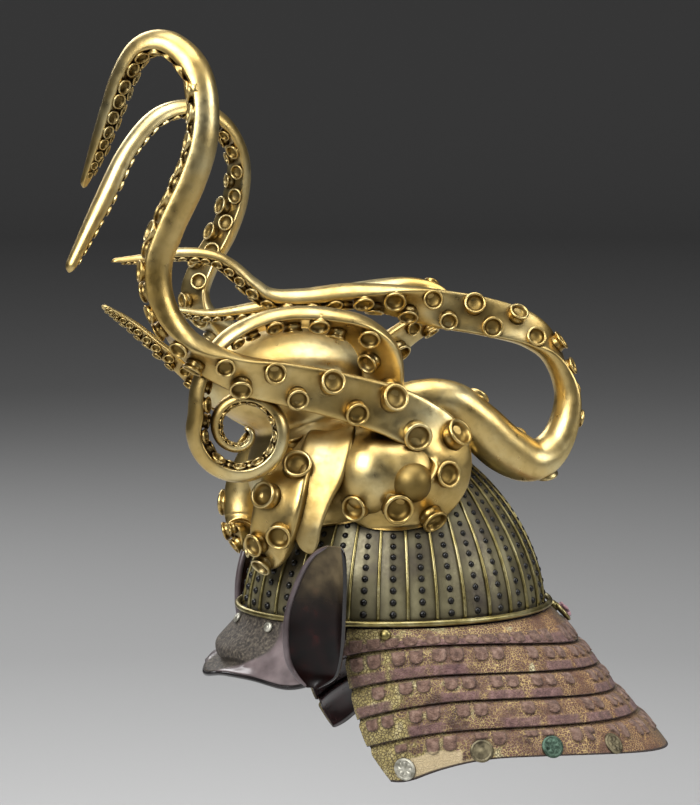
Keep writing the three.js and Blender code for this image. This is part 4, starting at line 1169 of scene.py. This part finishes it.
LEFT_COIL = np.array([
    (40, -22, 150, 16, 0.6, -0.8, 0),
    (54, -22, 176, 17, 0.8, -0.6, 0),
    (62, -25, 203, 17, 0.8, -0.5, -0.2),
    (66, -41, 222, 15.5, 0.6, -0.4, -0.7),
    (68, -66, 231, 14, 0.4, -0.1, -0.9),
    (68, -97, 234, 13, 0.35, 0, -0.9),
    (68, -125, 229, 12, 0.3, 0.4, -0.85),
    (68, -147, 217, 11.5, 0.2, 0.7, -0.7),
    (69, -160, 200, 11, 0.2, 0.9, -0.4),
    (69, -167, 182, 11, 0.2, 0.95, -0.2),
], dtype=float)
RIGHT_REACH = np.array([
    (-32, -66, 124, 14, 0.3, -0.7, 0.5),
    (-44, -92, 136, 13, 0.4, -0.7, -0.4),
    (-50, -120, 151, 12, 0.5, -0.55, -0.65),
    (-52, -144, 169, 10.5, 0.5, -0.55, -0.65),
    (-52, -164, 187, 9, 0.5, -0.55, -0.65),
    (-50, -184, 204, 7.5, 0.5, -0.55, -0.65),
    (-46, -205, 222, 6, 0.5, -0.5, -0.7),
    (-42, -228, 238, 2.8, 0.5, -0.5, -0.7),
], dtype=float)
LEFT_BROW = np.array([
    (34, -66, 134, 15, 0.5, -0.3, 0.8),
    (54, -92, 124, 18.5, 0.7, -0.5, 0.5),
    (67, -104, 98, 20, 0.8, -0.6, 0.1),
    (67, -110, 74, 19.5, 0.75, -0.65, -0.1),
    (58, -113, 56, 17, 0.5, -0.7, -0.5),
    (44, -118, 50, 13, 0.1, -0.85, -0.5),
    (32, -120, 58, 8, -0.6, -0.75, 0),
], dtype=float)
LEFT_WEB = np.array([
    (40, -54, 150, 15, 0.4, -0.3, 0.8),
    (61, -64, 142, 19, 0.8, -0.45, 0.4),
    (71, -74, 118, 20, 0.9, -0.45, 0.2),
    (76, -82, 97, 16, 0.9, -0.5, 0.1),
    (79, -87, 76, 12.5, 0.85, -0.55, 0),
    (80, -86, 62, 9, 0.85, -0.6, 0),
    (80, -84, 53, 3, 0.85, -0.6, 0),
], dtype=float)

COIL = {"at": (75, -137, 151), "radius": 33.5, "from": 160, "to": 765, "step": 22}
COIL_HALF = {"root": 12, "tip": 2.6}
COIL_ACROSS = (0.208, 0.978)  # the spiral's level direction, x and y


def coil_rows():
    """A flat spiral: its radius shrinks as (1 - share^1.6)^0.9 while it turns, facing inwards."""
    a = np.arange(COIL["from"], COIL["to"] + 1, COIL["step"])
    share = (a - COIL["from"]) / (COIL["to"] - COIL["from"])
    radius = COIL["radius"] * np.maximum(1 - share**1.6, 0) ** 0.9
    cos, sin = np.cos(np.radians(a)), np.sin(np.radians(a))
    x, y, z = COIL["at"]
    half = COIL_HALF["root"] + (COIL_HALF["tip"] - COIL_HALF["root"]) * share
    cos_x, cos_y = cos * COIL_ACROSS[0], cos * COIL_ACROSS[1]
    columns = [x + radius * cos_x, y + radius * cos_y, z + radius * sin, half]
    return np.stack(columns + [-cos_x, -cos_y, -sin], 1)


MIRROR = np.array([-1, 1, 1, 1, -1, 1, 1])
# Name: route, depth of the back and of the face as shares of the half width, and the share of
# the route, from the root, that has no suckers.
ARMS = {
    "left_crest": (np.concatenate([CURL_ROOT, LEFT_CREST]), 1.1, 0.3, 0.03),
    "right_crest": (np.concatenate([CURL_ROOT * MIRROR, RIGHT_CREST]), 1.0, 0.3, 0.03),
    "left_coil": (np.concatenate([LEFT_COIL, coil_rows()]), 0.9, 0.25, 0.07),
    "rear_loop": (REAR_LOOP, 0.9, 0.3, 0.14),
    "right_loop": (RIGHT_LOOP, 0.8, 0.3, 0.1),
    "right_reach": (RIGHT_REACH, 0.8, 0.3, 0.12),
    "left_brow": (LEFT_BROW, 1.1, 0.5, 0.15),
    "right_brow": (LEFT_BROW * MIRROR, 1.1, 0.5, 0.15),
}
WEBS = {"left": LEFT_WEB, "right": LEFT_WEB * MIRROR}
WEB_DEPTH = {"back": 0.5, "face": 0.3}
ARM_STEP = 1.7
ARM_AROUND = 36


def arm_frames(route):
    """Even steps along a route: middle, face and side directions, half width, and length so far."""
    t = np.linspace(0, len(route) - 1, len(route) * 120)
    fine = through(route, t)
    run = run_along(fine[:, :3])
    steps = np.linspace(0, run[-1], int(run[-1] / ARM_STEP) + 1)
    rows = through(route, np.interp(steps, run, t))
    along = unit(np.gradient(rows[:, :3], axis=0))
    face = off_line(rows[:, 4:], along)
    return rows[:, :3], face, np.cross(along, face), rows[:, 3], steps


def arm_section(half, back, face):
    """Across and depth of an arm's section: a round back, and a dished face with raised edges."""
    a = once_round(ARM_AROUND)[None, :]
    half = half[:, None]
    rise = np.sin(a)
    dish = 1 - 0.5 * rise**2
    front = face * half * np.sqrt(np.maximum(rise, 0)) * dish
    return half * np.cos(a), np.where(rise > 0, front, back * half * rise)


def arm_skin(name, route, back, face, node_name, worn=0.0):
    """The arm's section carried along its route, rounded off at both ends; worn dulls its gilding."""
    middle, look, side, half, steps = arm_frames(route)
    close = 1.0
    for reach in ((steps[-1] - steps) / (1.4 * half[-1]), steps / (0.6 * half[0])):
        short = 1 - np.minimum(reach, 1)
        close = close * np.sqrt(np.maximum(1 - short**2, 0.02))
    across, depth = arm_section(half * close, back, face)
    rings = middle[:, None] + side[:, None] * across[..., None] + look[:, None] * depth[..., None]
    skin = outside_bowl(rings)
    dress(tube(name, skin, {"patina": np.full(skin.shape[:2], worn)}), GOLD, "gilt", node_name)


# A sucker's outline: radius and height as shares of its radius, from the foot over the lip
# and down into the cup.
CUP = np.array([
    (1.02, -0.35),
    (0.94, 0.0),
    (0.88, 0.2),
    (0.93, 0.36),
    (1.03, 0.47),
    (1.06, 0.58),
    (1.0, 0.68),
    (0.87, 0.69),
    (0.79, 0.56),
    (0.74, 0.36),
    (0.65, 0.2),
    (0.45, 0.1),
    (0.12, 0.06),
])
SUCKER = {"across": 0.47, "radius": 0.53, "uneven": 0.06, "height": 0.62, "tilt": 0.3, "astray": 0.05}
PITCH = {"root": 1.36, "tip": 0.6, "turns_at": 0.6, "least": 2.4}


def suckers(name, route, face, bare):
    """Two staggered rows of cups up the arm's face, closing up towards the tip."""
    middle, look, side, half, steps = arm_frames(route)
    length = steps[-1]
    reach, row, places = bare * length, 1, []
    while reach < 0.985 * length:
        share = reach / length
        index = int(round(share * (len(steps) - 1)))
        places.append((index, row))
        early = soft_step((PITCH["turns_at"] - share) * 12)
        reach += max(PITCH["least"], (PITCH["tip"] + (PITCH["root"] - PITCH["tip"]) * early) * half[index])
        row = -row
    index, row = np.array(places).T
    row = row[:, None]
    h = half[index][:, None]
    size = SUCKER["radius"] * half[index] * (1 + SUCKER["uneven"] * rng.standard_normal(len(index)))
    at = middle[index] + side[index] * row * SUCKER["across"] * h
    at = at + look[index] * face * h * SUCKER["height"]
    astray = SUCKER["astray"] * rng.standard_normal((len(index), 3))
    axis = look[index] + SUCKER["tilt"] * row * side[index] + astray
    at = outside_bowl(at)
    sides = 22
    quads, tris = lathe_faces(len(CUP), sides)
    shape = turned(at, axis, CUP, sides, size)
    # Patina and painted shade inside each cup: none on the lip, most on its inner walls and floor.
    hollow = np.concatenate([np.interp(np.arange(len(CUP)), [7, 10], [0, 0.7]).repeat(sides), [0, 0.6]])
    patina = np.tile(hollow, len(index))
    dress(many(name, shape, quads, tris, {"patina": patina}), GOLD, "gilt")


def octopus():
    """The head and eyes, then every arm with its suckers, then the webs between arms."""
    octopus_head()
    octopus_eyes()
    for name, (route, back, face, bare) in ARMS.items():
        arm_skin(f"arm_{name}_skin", route, back, face, f"arm_{name}")
        suckers(f"suckers_{name}", route, face, bare)
    for name, route in WEBS.items():
        arm_skin(f"web_{name}_skin", route, WEB_DEPTH["back"], WEB_DEPTH["face"], f"web_{name}", 0.35)


# ---------------------------------------------------------------- stage
COVE = {"radius": 9.0, "floor": -0.34, "height": 4.0, "bend": 1.5}


def stage():
    """A pale floor that curves up into a plain wall all round, its colour painted darker with distance as a
    painted pool of light round the helmet.
    """
    turn = once_round(96)[None, :]
    bend = np.linspace(0, math.pi / 2, 12)
    flat = COVE["radius"] - COVE["bend"]
    radius = np.concatenate([[0.01, flat * 0.5], flat + COVE["bend"] * np.sin(bend), [COVE["radius"]]])
    rise = np.concatenate([[0, 0], COVE["bend"] * (1 - np.cos(bend)), [COVE["height"]]])
    x = radius[:, None] * np.cos(turn)
    y = radius[:, None] * np.sin(turn)
    z = COVE["floor"] + rise[:, None] + 0 * turn
    points = np.append(np.stack([x, y, z], -1).reshape(-1, 3), [[0, 0, COVE["floor"]]], 0) / MM
    ring = np.arange(turn.size)
    middle = np.stack([np.full(turn.size, len(points) - 1), ring, np.roll(ring, -1)], -1)
    cove = build("studio_cove", points, grid_faces(len(radius), turn.size, True), middle)
    material, tree, place = new_material("matt_painted_cove", {"Roughness": 0.95})
    distance = node(tree, "VectorMath", {"operation": "LENGTH"}, {0: place}, out="Value")
    # Painted pool of light: the colour is pale near the helmet and darkens out towards the wall.
    share = node(tree, "MapRange", None, {0: distance, 1: 0.4, 2: 9.0})
    stops = [(0.0, "#b9b9b9"), (0.15, "#969696"), (0.45, "#7e7e7e"), (1.0, "#686868")]
    tone = node(tree, "ValToRGB", {"stops": stops}, {"Fac": share})
    wire(tree, {"Base Color": tone})
    cove.data.materials.append(material)


def softbox(name, place, size, power):
    """A white square area light that faces the middle of the helmet."""
    data = bpy.data.lights.new(name, "AREA")
    data.shape = "SQUARE"
    data.size = size
    data.energy = power
    light = bpy.data.objects.new(name, data)
    light.location = place
    aim = Vector((0, -0.05, 0.1)) - light.location
    light.rotation_euler = aim.to_track_quat("-Z", "Y").to_euler()
    bpy.context.collection.objects.link(light)


def lights():
    """Large soft boxes: a key high in front, one overhead, a fill behind and a dim world."""
    softbox("key_box", (2.3, -2.2, 2.3), 2.2, 150)
    softbox("top_box", (0.4, 0.2, 3.0), 2.4, 70)
    softbox("rear_box", (1.6, 2.6, 1.4), 1.4, 35)
    softbox("far_box", (-2.6, -0.8, 1.8), 1.8, 40)
    world = bpy.data.worlds.new("studio")
    world.use_nodes = True
    background = world.node_tree.nodes["Background"]
    background.inputs["Color"].default_value = linear("#9a9a9a")
    background.inputs["Strength"].default_value = 0.5
    bpy.context.scene.world = world
    bpy.context.scene.view_settings.view_transform = "Standard"


# ---------------------------------------------------------------- helmet
def helmet():
    """Every piece, from the bowl outwards."""
    bowl_plates()
    bowl_ribs()
    bowl_rivets()
    bowl_rim()
    bowl_band()
    peak()
    peak_studs()
    for index in range(LAST + 1):
        lame(index)
    wing(1)
    wing(-1)
    medallions()
    small_studs()
    rear_fittings()
    octopus()


helmet()
stage()
lights()
